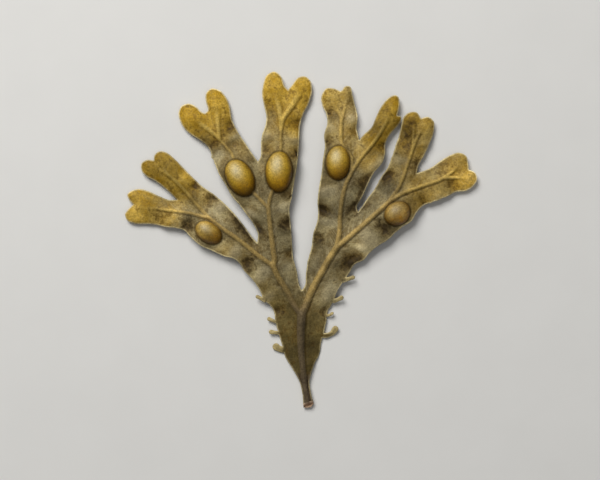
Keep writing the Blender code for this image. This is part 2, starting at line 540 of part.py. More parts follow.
def surfaces(points, margin):
    """Return the heights of the upper and the lower skin at points of the plan."""
    edge_tree = tree_of(margin)
    inward = np.array([edge_tree.find((x, y, 0.0))[2] for x, y in points])
    swell = np.zeros(len(points))
    for notch in (LOWER_LEFT_NOTCH, UPPER_LEFT_NOTCH, INNER_LEFT_NOTCH, MIDDLE_LEFT_NOTCH,
                  MIDDLE_RIGHT_NOTCH, SIDE_LOBE_NOTCH, UPPER_RIGHT_NOTCH, LOWER_RIGHT_NOTCH):
        apart = np.linalg.norm(points - np.array(notch), axis=1)
        swell = np.maximum(swell, np.exp(-(apart / TIP_REACH) ** 2))
    rounding = np.sqrt(smooth_step(inward / MARGIN_REACH))
    half = (MARGIN + (BLADE - MARGIN + TIP_SWELL * swell) * rounding) / 2.0
    rib = rib_share(points)
    middle = drape(points) + fold_height(points)
    upper = middle + half + RIB_ABOVE * rib
    lower = middle - half - RIB_BELOW * rib

    stalk = 1.0 - smooth_step((points[:, 1] - STIPE_TOP) / STIPE_BLEND)
    fullness = STIPE_EDGE_SHARE + (1.0 - STIPE_EDGE_SHARE) * smooth_step(inward / STIPE_HALF_WIDTH)
    round_half = STIPE_HALF_HEIGHT * np.sqrt(fullness)
    upper += stalk * (middle + round_half - upper)
    lower += stalk * (middle - round_half - lower)

    for centre, half_length, half_width, angle in BLADDERS:
        long_way, short_way = plan_axes(angle)
        offset = points - np.array(centre)
        off_centre = (offset @ long_way / half_length) ** 2 + (offset @ short_way / half_width) ** 2
        dome = half_width * BLADDER_DEPTH * np.sqrt(np.clip(1.0 - off_centre, 0.0, 1.0))
        inside = off_centre < 1.0
        level = half_width * BLADDER_DEPTH - BLADDER_SETTLE
        upper[inside] = np.maximum(upper, level + dome)[inside]
        lower[inside] = np.minimum(lower, level - dome)[inside]

    lower = np.maximum(lower, 0.0)
    upper = np.maximum(upper, lower + LEAST)
    return upper, lower


def make_tissue(name):
    """Return the material of one kind of tissue."""
    colour, roughness = TISSUES[name]
    material = bpy.data.materials.new(name)
    material.use_nodes = True
    shader = material.node_tree.nodes["Principled BSDF"]
    shader.inputs["Base Color"].default_value = (*colour, 1.0)
    shader.inputs["Roughness"].default_value = roughness
    shader.inputs["Metallic"].default_value = 0.0
    return material


def make_piece(name, triangles, points, upper, lower, material):
    """Make one closed piece: upper skin, lower skin and the wall round its margin."""
    used = sorted({index for tri in triangles for index in tri})
    place = {index: order for order, index in enumerate(used)}
    below = len(used)
    base = np.array(PIECES[name][0])
    corners = [(*(points[index] - base) * MM, upper[index] * MM) for index in used]
    corners += [(*(points[index] - base) * MM, lower[index] * MM) for index in used]
    faces = []
    sides = set()
    for tri in triangles:
        a, b, c = (place[index] for index in tri)
        faces.append((a, b, c))
        faces.append((c + below, b + below, a + below))
        sides.update(((a, b), (b, c), (c, a)))
    for a, b in sorted(sides):
        if (b, a) not in sides:
            faces.append((a + below, b + below, b))
            faces.append((a + below, b, a))
    mesh = bpy.data.meshes.new(name)
    mesh.from_pydata(corners, [], faces)
    mesh.shade_smooth()
    mesh.set_sharp_from_angle(angle=SHARP_ANGLE)
    mesh.materials.append(material)
    piece = bpy.data.objects.new(name, mesh)
    piece.location = (base[0] * MM, base[1] * MM, 0.0)
    bpy.context.scene.collection.objects.link(piece)
    return piece


def build_frond():
    """Build every piece of the frond, centred on the origin."""
    loops = [margin_loop(MARGIN_STEP)]
    loops += [leaflet_loop(*leaflet, MARGIN_STEP / 2.0) for leaflet in LEAFLETS]
    margin = np.concatenate([margin_loop(FINE_STEP)]
                            + [leaflet_loop(*leaflet, FINE_STEP) for leaflet in LEAFLETS])
    loops += [slot_loop(start, end, MARGIN_STEP) for start, end in SLOTS]
    fixed = [point for loop in loops for point in loop]
    low = margin.min(axis=0)
    high = margin.max(axis=0)
    ribs = spread_points(fixed, (bladder_points(), rib_points()), RIB_GAP)
    blade = spread_points(fixed + ribs, (hex_points(low, high, BLADE_STEP),), BLADE_GAP)
    points, triangles = sheet_triangles(loops, ribs + blade)
    pieces = part_sheet(points, triangles)
    upper, lower = surfaces(points, margin)
    middle = (low + high) / 2.0
    frond = bpy.data.objects.new("bladderwrack_frond", None)
    frond.location = (-middle[0] * MM, -middle[1] * MM, 0.0)
    bpy.context.scene.collection.objects.link(frond)
    tissues = {name: make_tissue(name) for name in TISSUES}
    for name, piece_triangles in pieces.items():
        tissue = tissues[PIECES[name][1]]
        piece = make_piece(name, piece_triangles, points, upper, lower, tissue)
        piece.parent = frond


for old in list(bpy.data.objects):
    bpy.data.objects.remove(old, do_unlink=True)
build_frond()
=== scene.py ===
"""Bladderwrack frond laid flat on a pale table, seen from above.

The frond is one thin sheet. Its plan comes from a margin drawn in millimetres, its relief from a
drape over the table, folds, raised midribs, float bladders and a rounded rim. The sheet is
triangulated once and parted at the forks into the frame's pieces, which share their borders.
"""

import logging
import math
from dataclasses import dataclass, field
from enum import Enum
from typing import Sequence

import bpy
import numpy as np
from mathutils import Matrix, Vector, kdtree, noise
from mathutils.geometry import delaunay_2d_cdt


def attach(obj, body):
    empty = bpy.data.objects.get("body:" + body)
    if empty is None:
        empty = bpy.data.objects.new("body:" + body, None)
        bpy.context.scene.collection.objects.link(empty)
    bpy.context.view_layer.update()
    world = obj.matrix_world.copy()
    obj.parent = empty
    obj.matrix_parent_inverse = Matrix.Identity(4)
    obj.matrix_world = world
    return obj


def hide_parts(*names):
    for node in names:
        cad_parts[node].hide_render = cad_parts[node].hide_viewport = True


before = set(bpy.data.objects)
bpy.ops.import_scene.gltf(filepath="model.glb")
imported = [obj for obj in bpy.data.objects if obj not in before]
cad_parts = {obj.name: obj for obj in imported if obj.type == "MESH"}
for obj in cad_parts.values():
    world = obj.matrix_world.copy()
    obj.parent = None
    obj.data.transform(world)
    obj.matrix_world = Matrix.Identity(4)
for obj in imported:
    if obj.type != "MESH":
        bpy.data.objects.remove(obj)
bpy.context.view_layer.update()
LOG = logging.getLogger("bladderwrack")

Point = tuple[float, float]
Colour = tuple[float, float, float]

MM = 0.001

# The margin's corners, in millimetres: forks, notches in the tips and the cut end.
CUT_LEFT: Point = (0.7, -50.3)
CUT_RIGHT: Point = (3.8, -49.2)
TRUNK_FORK: Point = (0.2, -15.1)
LEFT_FORK: Point = (-13.1, -0.8)
RIGHT_FORK: Point = (17.0, 8.4)
LEFT_OUTER_FORK: Point = (-37.2, 12.1)
LEFT_INNER_FORK: Point = (-12.9, 23.4)
RIGHT_INNER_FORK: Point = (17.4, 29.9)
RIGHT_OUTER_FORK: Point = (34.6, 20.0)
LOWER_LEFT_NOTCH: Point = (-50.4, 10.6)
UPPER_LEFT_NOTCH: Point = (-44.2, 23.9)
INNER_LEFT_NOTCH: Point = (-28.8, 38.0)
MIDDLE_LEFT_NOTCH: Point = (-3.9, 45.0)
MIDDLE_RIGHT_NOTCH: Point = (11.8, 44.6)
SIDE_LOBE_NOTCH: Point = (28.8, 37.3)
UPPER_RIGHT_NOTCH: Point = (36.0, 36.5)
LOWER_RIGHT_NOTCH: Point = (50.3, 21.1)

NOTCHES: tuple[Point, ...] = (
    LOWER_LEFT_NOTCH, UPPER_LEFT_NOTCH, INNER_LEFT_NOTCH, MIDDLE_LEFT_NOTCH,
    MIDDLE_RIGHT_NOTCH, SIDE_LOBE_NOTCH, UPPER_RIGHT_NOTCH, LOWER_RIGHT_NOTCH)

MARGIN_RUNS: tuple[tuple[Point, ...], ...] = (
    # Up the left side of the stipe and the basal blade, and out to the lowest left tip
    (CUT_LEFT, (0.4, -46.1), (-0.5, -42.5), (-2.6, -38.6), (-4.8, -35.0), (-5.8, -31.1),
     (-6.7, -28.4), (-7.7, -24.3), (-8.2, -21.5), (-9.8, -19.1), (-10.9, -18.3), (-12.3, -15.2),
     (-14.4, -12.0), (-17.2, -9.0), (-18.3, -7.1), (-20.0, -5.7), (-22.9, -4.9), (-26.9, -3.1),
     (-30.2, -1.6), (-33.3, 1.1), (-35.1, 2.9), (-37.2, 3.5), (-40.7, 3.9), (-43.6, 4.6),
     (-46.8, 4.8), (-50.3, 5.0), (-52.4, 6.2), (-52.8, 7.7), (-51.8, 9.2), LOWER_LEFT_NOTCH),
    (LOWER_LEFT_NOTCH, (-51.8, 12.4), (-52.2, 13.5), (-51.1, 14.6), (-48.8, 15.3),
     (-45.9, 14.7), (-42.6, 13.2), (-39.3, 12.0), LEFT_OUTER_FORK),
    # The upper tip of the outer left branch, and back to the left fork
    (LEFT_OUTER_FORK, (-39.5, 14.3), (-41.8, 16.3), (-44.1, 17.9), (-46.4, 19.1),
     (-47.8, 20.8), (-47.9, 22.9), (-46.3, 24.0), UPPER_LEFT_NOTCH),
    (UPPER_LEFT_NOTCH, (-44.0, 25.4), (-42.6, 26.6), (-40.1, 26.1), (-38.0, 24.4),
     (-35.7, 22.1), (-32.4, 18.7), (-29.1, 15.7), (-26.2, 13.8), (-23.1, 11.1), (-20.0, 7.9),
     (-17.0, 4.2), (-14.3, 0.5), LEFT_FORK),
    # The left tip of the inner left branch
    (LEFT_FORK, (-12.9, 1.5), (-14.1, 4.5), (-16.2, 7.4), (-18.3, 10.3), (-20.8, 13.3),
     (-22.7, 16.7), (-24.5, 19.6), (-25.7, 22.6), (-26.6, 24.5), (-27.3, 27.0), (-28.9, 28.9),
     (-31.8, 30.8), (-34.5, 32.9), (-36.2, 35.5), (-36.8, 38.0), (-35.9, 40.1), (-33.7, 40.9),
     (-31.4, 39.9), (-29.7, 38.3), INNER_LEFT_NOTCH),
    (INNER_LEFT_NOTCH, (-27.9, 38.9), (-28.5, 41.2), (-28.6, 43.7), (-27.2, 45.3),
     (-24.5, 44.9), (-22.4, 42.6), (-21.3, 39.5), (-20.8, 36.5), (-19.3, 33.1), (-16.8, 29.1),
     (-14.5, 25.7), LEFT_INNER_FORK),
    # The right tip of the inner left branch, and down the middle gap
    (LEFT_INNER_FORK, (-12.1, 24.9), (-12.0, 27.5), (-11.7, 31.4), (-10.7, 34.2),
     (-10.4, 36.6), (-11.1, 40.2), (-11.7, 43.8), (-11.3, 46.9), (-10.1, 49.6), (-8.0, 50.5),
     (-5.9, 48.9), (-4.9, 46.1), MIDDLE_LEFT_NOTCH),
    (MIDDLE_LEFT_NOTCH, (-2.6, 46.5), (-0.7, 48.8), (1.1, 49.1), (2.8, 47.7), (3.3, 45.3),
     (2.4, 41.2), (0.7, 37.7), (-0.3, 34.2), (-0.5, 30.4), (-0.7, 26.9), (-1.1, 22.9),
     (-2.0, 17.2), (-2.8, 12.5), (-3.5, 9.3), (-3.3, 6.6), (-2.9, 2.7), (-2.7, -1.1),
     (-2.3, -5.6), (-1.3, -9.2), (-0.5, -13.6), TRUNK_FORK),
    # Up the middle gap to the left tip of the inner right branch
    (TRUNK_FORK, (1.0, -14.0), (1.4, -10.4), (2.0, -6.2), (3.1, -2.1), (3.6, 1.8), (4.7, 5.2),
     (5.1, 7.8), (4.9, 11.1), (5.3, 15.4), (6.1, 19.9), (6.5, 24.1), (7.1, 28.0), (6.9, 31.6),
     (7.9, 35.4), (7.5, 37.8), (6.3, 40.5), (6.2, 43.4), (7.8, 45.5), (9.9, 45.4),
     MIDDLE_RIGHT_NOTCH),
    (MIDDLE_RIGHT_NOTCH, (12.4, 45.0), (12.9, 45.8), (13.6, 46.2), (14.5, 46.1), (15.1, 45.4),
     (15.3, 44.2), (15.7, 42.3), (16.3, 40.0), (16.9, 37.2), (16.7, 33.3), RIGHT_INNER_FORK),
    # The right tip of the inner right branch, with a small side lobe, and down to the right fork
    (RIGHT_INNER_FORK, (18.8, 31.6), (21.1, 33.8), (22.4, 36.8), (24.1, 40.1), (25.9, 42.3),
     (27.2, 43.2), (28.4, 43.4), (29.2, 42.8), (29.5, 41.6), (29.4, 39.8), SIDE_LOBE_NOTCH),
    (SIDE_LOBE_NOTCH, (29.3, 37.2), (29.8, 37.1), (30.1, 36.6), (30.0, 35.8), (29.4, 34.7),
     (28.2, 33.3), (26.4, 31.2), (25.3, 28.8), (25.2, 26.0), (24.4, 23.3), (21.9, 20.2),
     (20.1, 16.8), (18.4, 13.0), (16.7, 9.6), RIGHT_FORK),
    # The upper tip of the outer right branch
    (RIGHT_FORK, (17.8, 9.4), (19.6, 12.1), (21.8, 15.0), (23.8, 18.6), (25.9, 21.7),
     (27.3, 25.3), (28.3, 28.4), (29.3, 31.2), (30.1, 34.7), (30.8, 37.0), (32.6, 38.3),
     (34.6, 38.3), UPPER_RIGHT_NOTCH),
    (UPPER_RIGHT_NOTCH, (38.1, 36.9), (39.8, 35.5), (39.9, 33.0), (38.5, 28.9), (37.0, 25.5),
     (35.0, 21.8), RIGHT_OUTER_FORK),
    # The lowest right tip, and down the right side to the cut end
    (RIGHT_OUTER_FORK, (35.6, 20.3), (39.1, 21.8), (41.8, 23.7), (44.7, 25.4), (47.3, 26.2),
     (49.7, 25.0), (50.1, 23.1), LOWER_RIGHT_NOTCH),
    (LOWER_RIGHT_NOTCH, (52.2, 20.1), (52.8, 18.5), (51.8, 16.4), (49.7, 14.8), (46.6, 14.4),
     (43.7, 13.0), (39.1, 11.2), (36.8, 10.4), (34.7, 8.4), (33.0, 5.6), (29.9, 3.8),
     (28.1, 2.1), (26.4, 0.4), (22.0, -2.5), (20.1, -4.3), (18.8, -5.9), (16.1, -7.3),
     (14.2, -10.2), (12.4, -12.8), (10.9, -15.2), (9.6, -18.5), (8.0, -21.6), (7.6, -24.0),
     (6.9, -27.6), (6.0, -30.9), (5.4, -34.6), (4.1, -37.1), (3.0, -40.4), (2.6, -42.1),
     (3.0, -45.9), CUT_RIGHT),
    # The cut end of the stipe
    (CUT_RIGHT, (2.9, -50.1), (1.7, -50.3), CUT_LEFT),
)


class Tissue(Enum):
    """The kinds of tissue, by the record's material slot."""

    STIPE = "stipe_tissue"
    BLADE = "blade_tissue"
    TIP = "tip_tissue"


@dataclass(frozen=True)
class Midrib:
    """A raised rib along a route, in millimetres, its free end sinking into the blade."""

    route: tuple[Point, ...]
    first_width: float
    last_width: float
    fade: float = 0.0


@dataclass(frozen=True)
class Bladder:
    """An oval float bladder, in millimetres, its long axis turned by degrees from +X.

    Its gold is 1 where it is golden, and 0 where it is a rusty brown.
    """

    centre: Point
    half_length: float
    half_width: float
    angle: float
    gold: float

    def axes(self) -> tuple[np.ndarray, np.ndarray]:
        """Return the long and the short direction in the plan."""
        turn = math.radians(self.angle)
        return (np.array((math.cos(turn), math.sin(turn))),
                np.array((-math.sin(turn), math.cos(turn))))

    def off_centre(self, points: np.ndarray) -> np.ndarray:
        """Return the squared distance from the centre, as a share of the outline's.

        Args:
            points: Plan points, one row each.

        Returns:
            0 at the centre and 1 on the outline, for each point.
        """
        long_way, short_way = self.axes()
        offset = points - np.array(self.centre)
        return (offset @ long_way / self.half_length) ** 2 + (
            offset @ short_way / self.half_width) ** 2


@dataclass(frozen=True)
class Leaflet:
    """A small club-shaped outgrowth of the margin, in millimetres."""

    route: tuple[Point, ...]
    stalk: float
    head: float


@dataclass(frozen=True)
class Spot:
    """A round patch of the plan with a reach and a strength."""

    x: float
    y: float
    reach: float
    strength: float

    def gaps_to(self, points: np.ndarray) -> np.ndarray:
        """Return each plan point's distance from the middle of the patch."""
        return np.hypot(points[:, 0] - self.x, points[:, 1] - self.y)


@dataclass(frozen=True)
class Fold:
    """A hollow or a crest of the blade, in millimetres, its length turned by degrees from +X."""

    x: float
    y: float
    angle: float
    along: float
    across: float
    rise: float

    def off_middle(self, points: np.ndarray) -> np.ndarray:
        """Return how far plan points lie off the middle.

        Args:
            points: Plan points, one row each.

        Returns:
            The distance of each as a share of the fold's reach.
        """
        turn = math.radians(self.angle)
        offset = points - np.array((self.x, self.y))
        ahead = offset @ np.array((math.cos(turn), math.sin(turn)))
        aside = offset @ np.array((-math.sin(turn), math.cos(turn)))
        return np.hypot(ahead / self.along, aside / self.across)


# Midribs
TRUNK_TOP: Point = (0.1, -22.6)
LEFT_PARTING: Point = (-8.4, -7.7)
RIGHT_PARTING: Point = (10.5, -2.3)
OUTER_LEFT_PARTING: Point = (-27.5, 6.6)
INNER_LEFT_PARTING: Point = (-9.8, 9.6)
INNER_RIGHT_PARTING: Point = (14.9, 20.0)
OUTER_RIGHT_PARTING: Point = (25.8, 11.0)
MIDDLE_LEFT_PARTING: Point = (-6.0, 32.6)
UPPER_LEFT_PARTING: Point = (-24.3, 30.0)
MIDRIBS: tuple[Midrib, ...] = (
    Midrib(((2.0, -50.2), (1.3, -45.2), (0.8, -41.3), (0.4, -37.5), (0.0, -33.0), (-0.1, -28.9),
            TRUNK_TOP), 1.5, 3.2),
    Midrib((TRUNK_TOP, (-2.1, -19.5), (-4.2, -15.3), (-6.9, -10.9), LEFT_PARTING), 2.2, 2.1),
    Midrib((TRUNK_TOP, (1.3, -19.7), (3.0, -15.4), (5.8, -10.1), (8.8, -4.9), RIGHT_PARTING),
           2.6, 2.3),
    Midrib((LEFT_PARTING, (-12.9, -4.5), (-18.7, 0.2), (-23.7, 3.6), OUTER_LEFT_PARTING),
           1.8, 1.6),
    Midrib((OUTER_LEFT_PARTING, (-33.8, 8.1), (-39.5, 8.9), (-46.8, 9.6)), 1.5, 1.2, 7.0),
    Midrib((OUTER_LEFT_PARTING, (-30.3, 9.6), (-34.2, 14.2), (-37.5, 17.6), (-40.3, 19.9),
            (-44.6, 21.9)), 1.5, 1.5, 8.0),
    Midrib(((-39.6, 19.3), (-41.3, 21.8), (-42.4, 24.2)), 1.4, 1.6, 6.0),
    Midrib((LEFT_PARTING, (-8.0, -6.0), (-8.3, -3.3), (-9.1, 2.9), INNER_LEFT_PARTING),
           2.1, 1.8),
    Midrib((INNER_LEFT_PARTING, (-9.3, 12.6), (-8.4, 15.0), (-6.6, 20.3), (-6.1, 26.9),
            MIDDLE_LEFT_PARTING), 1.6, 1.2),
    Midrib((MIDDLE_LEFT_PARTING, (-5.3, 36.2), (-3.2, 39.6), (-1.0, 43.4), (0.2, 46.2)),
           1.3, 3.2, 11.0),
    Midrib((MIDDLE_LEFT_PARTING, (-6.2, 37.6), (-7.1, 41.2), (-8.2, 45.0)), 1.3, 3.2, 11.0),
    Midrib((INNER_LEFT_PARTING, (-12.9, 12.8), (-18.2, 18.5), (-20.9, 26.0),
            UPPER_LEFT_PARTING), 1.5, 1.2),
    Midrib((UPPER_LEFT_PARTING, (-26.6, 32.2), (-29.4, 34.3), (-32.6, 36.8)), 1.3, 2.8, 9.0),
    Midrib((UPPER_LEFT_PARTING, (-24.9, 34.4), (-25.3, 41.0)), 1.3, 3.0, 10.0),
    Midrib((RIGHT_PARTING, (11.4, 2.4), (11.6, 7.0), (12.3, 12.6), (13.3, 16.6),
            INNER_RIGHT_PARTING), 1.9, 1.6),
    Midrib((INNER_RIGHT_PARTING, (17.7, 24.4), (20.9, 28.2), (23.6, 32.0), (26.0, 36.6),
            (27.2, 39.5)), 1.5, 1.6, 9.0),
    Midrib((INNER_RIGHT_PARTING, (14.9, 24.8), (12.2, 28.7), (11.9, 34.1), (12.0, 36.2),
            (10.3, 39.7), (8.9, 42.6)), 1.3, 1.6, 7.0),
    Midrib(((12.0, 35.4), (13.0, 39.8), (14.2, 43.4)), 1.3, 1.6, 7.0),
    Midrib((RIGHT_PARTING, (15.4, 1.9), (20.8, 6.6), OUTER_RIGHT_PARTING), 2.0, 1.8),
    Midrib((OUTER_RIGHT_PARTING, (29.0, 15.6), (32.1, 23.6), (34.7, 30.6), (37.2, 34.6)),
           1.6, 1.3, 7.0),
    Midrib(((33.2, 26.6), (33.6, 32.6), (33.7, 36.4)), 1.2, 1.4, 7.0),
    Midrib((OUTER_RIGHT_PARTING, (28.9, 13.2), (36.0, 16.1), (42.0, 18.3), (46.1, 21.3),
            (48.2, 23.8)), 1.7, 1.4, 7.0),
    Midrib(((42.4, 18.5), (46.4, 18.7), (50.4, 18.4)), 1.4, 1.8, 7.0),
)

BLADDERS: tuple[Bladder, ...] = (
    Bladder((-27.6, 2.2), 4.4, 3.1, -33.0, 0.5),
    Bladder((-18.2, 18.5), 5.9, 4.1, -62.0, 1.0),
    Bladder((-6.6, 20.3), 6.2, 4.1, 87.0, 1.0),
    Bladder((11.0, 23.0), 5.2, 3.7, 87.0, 0.9),
    Bladder((28.7, 7.9), 4.2, 3.5, 33.0, 0.2),
)

LEAFLETS: tuple[Leaflet, ...] = (
    Leaflet(((-10.4, -18.0), (-11.8, -17.6), (-13.1, -17.0)), 1.1, 1.1),
    Leaflet(((-7.1, -24.7), (-8.5, -24.2), (-9.6, -23.7)), 0.5, 1.2),
    Leaflet(((-6.2, -27.9), (-7.8, -27.8), (-9.0, -27.6)), 0.6, 1.4),
    Leaflet(((-5.0, -33.0), (-6.5, -32.7), (-7.5, -32.1)), 1.0, 2.2),
    Leaflet(((12.4, -12.0), (14.0, -11.7), (15.6, -11.2)), 0.9, 1.2),
    Leaflet(((9.4, -18.4), (11.0, -17.9), (12.1, -17.3)), 0.7, 1.4),
    Leaflet(((7.4, -22.7), (8.6, -22.5), (9.4, -22.0)), 0.45, 0.9),
    Leaflet(((6.2, -28.7), (8.0, -28.6), (9.3, -28.0), (10.3, -26.7)), 0.7, 1.9),
)

# Where the blade's middle lies above the table: x, y, z.
DRAPE: tuple[tuple[float, float, float], ...] = (
    (2.0, -50.0, 1.15), (1.0, -41.0, 1.0), (-2.6, -31.5, 0.4), (4.0, -31.5, 0.4),
    (-4.0, -25.5, 0.9), (5.0, -25.5, 1.0), (0.8, -22.0, 1.3),
    (-7.0, -10.0, 2.2), (7.0, -9.0, 2.2), (-16.0, -3.0, 2.6), (-9.0, 3.0, 2.9),
    (11.0, 4.0, 2.8), (20.0, 4.0, 2.8), (-33.0, 7.0, 2.2), (-48.0, 9.5, 1.1),
    (-37.0, 18.0, 1.7), (-44.0, 23.0, 1.1), (-21.0, 27.0, 2.4), (-33.0, 37.0, 1.2),
    (-25.0, 41.0, 1.4), (-6.5, 31.0, 2.4), (-8.0, 46.0, 1.3), (0.5, 45.0, 1.2),
    (12.0, 32.0, 2.2), (10.0, 42.0, 1.2), (20.0, 27.0, 2.4), (27.0, 40.0, 1.8),
    (30.0, 18.0, 2.2), (34.0, 31.0, 1.7), (35.5, 36.0, 1.2), (38.0, 16.0, 1.9),
    (48.5, 20.0, 1.2),
)

# Folds of the blade: hollows below the drape, crests above it
FOLDS: tuple[Fold, ...] = tuple(Fold(*values) for values in (
    # The outer left branch
    (-42.2, 6.3, 70.0, 1.8, 1.3, -0.6), (-38.8, 5.0, 60.0, 1.6, 1.1, 0.6),
    (-34.2, 4.4, 60.0, 2.2, 1.2, -1.0), (-45.2, 13.0, 100.0, 1.8, 1.4, 0.4),
    (-19.8, -3.4, 60.0, 2.4, 1.6, 0.8), (-16.5, -7.2, 50.0, 2.8, 1.3, -1.3),
    (-11.9, -9.9, 50.0, 2.8, 1.7, 0.9), (-34.0, 19.3, 45.0, 1.7, 1.0, 0.7),
    (-31.6, 17.0, 45.0, 2.1, 1.1, -0.9), (-29.6, 15.6, 45.0, 1.6, 0.8, 0.4),
    (-26.8, 12.6, 45.0, 2.4, 1.3, -1.0), (-24.4, 9.8, 45.0, 2.6, 1.5, 0.8),
    (-17.4, 3.4, -50.0, 4.4, 1.3, -1.0),
    # The inner left branch
    (-27.0, 28.7, 35.0, 2.2, 1.2, -0.9), (-25.0, 25.3, 35.0, 2.2, 1.3, 0.8),
    (-21.0, 34.6, 35.0, 1.9, 1.2, -0.8), (-19.5, 31.2, 35.0, 2.0, 1.1, 0.6),
    (-20.3, 28.6, 35.0, 1.6, 1.0, -0.6), (-15.0, 7.6, -45.0, 2.2, 1.3, 0.8),
    (-13.0, 4.1, -50.0, 2.4, 1.0, -1.1), (-10.2, 41.0, 0.0, 1.8, 1.3, -0.5),
    (-0.6, 35.4, 10.0, 2.1, 1.4, -0.6), (-10.0, 31.0, 0.0, 2.0, 1.3, 0.7),
    (-10.4, 26.9, 0.0, 1.9, 1.1, -0.35), (-2.2, 30.2, 0.0, 2.0, 1.3, 0.7),
    (-1.2, 25.8, 0.0, 1.7, 1.1, -1.0), (-3.5, 13.7, -10.0, 1.7, 1.1, -0.8),
    (-4.8, 10.2, 25.0, 2.4, 1.4, 0.9), (-3.6, 5.3, 10.0, 1.9, 1.3, -1.6),
    (-4.7, 0.2, 20.0, 2.2, 1.5, 0.4), (-3.1, -3.8, 20.0, 1.8, 1.1, -1.2),
    (-4.0, -7.6, 20.0, 2.0, 1.5, 0.6),
    # The trunk's blade
    (-10.0, -16.8, 40.0, 2.4, 1.6, 0.6), (-7.0, -21.1, 30.0, 2.0, 1.1, -0.8),
    (8.4, -14.8, 60.0, 3.2, 1.8, 0.9), (7.5, -20.9, 20.0, 1.7, 1.0, -0.9),
    # The inner right branch
    (7.8, 14.6, 10.0, 2.4, 1.5, 0.9), (6.3, 9.0, -20.0, 2.1, 1.3, -1.6),
    (7.8, 5.8, -15.0, 2.6, 1.3, 0.9), (4.5, 1.1, -30.0, 1.8, 1.1, -1.0),
    (4.3, -5.9, 60.0, 3.2, 1.3, 0.5), (16.8, 10.5, 35.0, 2.4, 1.2, -1.3),
    (14.9, 13.6, 35.0, 1.8, 1.2, 0.5), (18.2, 15.2, 60.0, 2.0, 1.0, -0.7),
    (20.4, 18.7, 30.0, 2.8, 1.3, -1.1), (22.2, 22.9, 30.0, 2.4, 1.5, 0.8),
    (24.8, 28.4, 0.0, 1.4, 1.0, -0.8), (14.9, 36.6, 0.0, 1.8, 1.3, 0.7),
    (16.0, 32.9, 10.0, 1.7, 1.1, -0.9), (8.4, 38.2, 0.0, 1.6, 1.3, -0.6),
    (8.6, 33.6, 0.0, 1.8, 1.3, 0.7), (8.0, 29.6, 0.0, 1.6, 1.1, -0.8),
    # The outer right branch
    (32.2, 31.5, 75.0, 4.0, 1.3, -0.7), (29.4, 23.8, 20.0, 1.9, 1.3, 0.8),
    (25.8, 19.3, 30.0, 1.9, 1.2, -1.3), (35.1, 22.9, 30.0, 1.7, 1.1, -0.9),
    (37.9, 28.6, 20.0, 1.8, 1.3, 0.6), (45.3, 16.6, 110.0, 1.9, 1.3, -0.9),
    (41.0, 12.9, 110.0, 1.6, 1.2, 0.7), (36.8, 10.9, 110.0, 1.8, 1.1, -1.0),
    (42.2, 21.5, 110.0, 1.9, 1.3, -0.3), (38.0, 19.9, 110.0, 2.1, 1.5, 0.5),
    (24.6, 4.0, 120.0, 2.2, 1.3, -1.2), (20.1, 0.9, 130.0, 3.0, 1.9, 1.0),
    (17.9, -2.6, -30.0, 2.0, 1.1, 0.7), (15.4, -5.3, 20.0, 2.3, 1.1, -1.3),
    (13.4, -7.6, 40.0, 2.2, 1.2, -0.6),
    (9.9, -12.4, 20.0, 0.5, 0.25, -0.6),
))

# Stretches of the margin that are crinkled more than the rest
CRINKLES: tuple[Spot, ...] = tuple(Spot(*values) for values in (
    (28.4, 26.4, 2.6, 0.22), (7.2, -22.4, 3.6, 0.34), (41.5, 12.8, 3.6, 0.2),
    (-29.5, 29.5, 2.0, 0.16), (-26.4, 24.2, 1.6, 0.24), (30.0, 3.4, 3.0, 0.2),
    (17.8, -6.2, 2.6, 0.16), (-8.0, -22.0, 3.0, 0.14), (-26.0, 13.6, 2.0, 0.14),
))

# Golden ripeness: a core of full strength, fading over the reach
GOLD: tuple[Spot, ...] = tuple(Spot(*values) for values in (
    (-50.4, 10.6, 10.5, 0.85), (-41.0, 7.0, 5.0, 0.5), (-44.2, 23.9, 10.0, 1.0),
    (-37.5, 18.5, 8.0, 0.95), (-31.5, 14.0, 5.0, 0.4), (-32.0, 38.0, 9.5, 1.0),
    (-25.0, 41.5, 9.5, 1.0), (-25.4, 34.2, 5.8, 0.8), (-19.5, 27.5, 5.0, 0.2),
    (-8.0, 46.5, 9.5, 1.0), (0.6, 45.0, 9.5, 1.0), (-2.0, 36.0, 6.0, 0.8), (-6.0, 29.0, 6.0, 0.35),
    (9.6, 43.6, 6.4, 0.6), (12.5, 32.0, 6.0, 0.3), (27.5, 39.0, 8.0, 1.0), (23.5, 33.0, 7.0, 1.0),
    (19.5, 25.5, 5.0, 0.45), (35.0, 37.0, 8.5, 0.7), (33.5, 29.0, 6.0, 0.55),
    (30.0, 20.5, 5.0, 0.3), (50.0, 20.5, 9.0, 0.6), (38.0, 14.5, 8.0, 0.45),
    (-12.0, -16.0, 6.0, 0.12), (-20.0, -4.0, 5.0, 0.15),
))

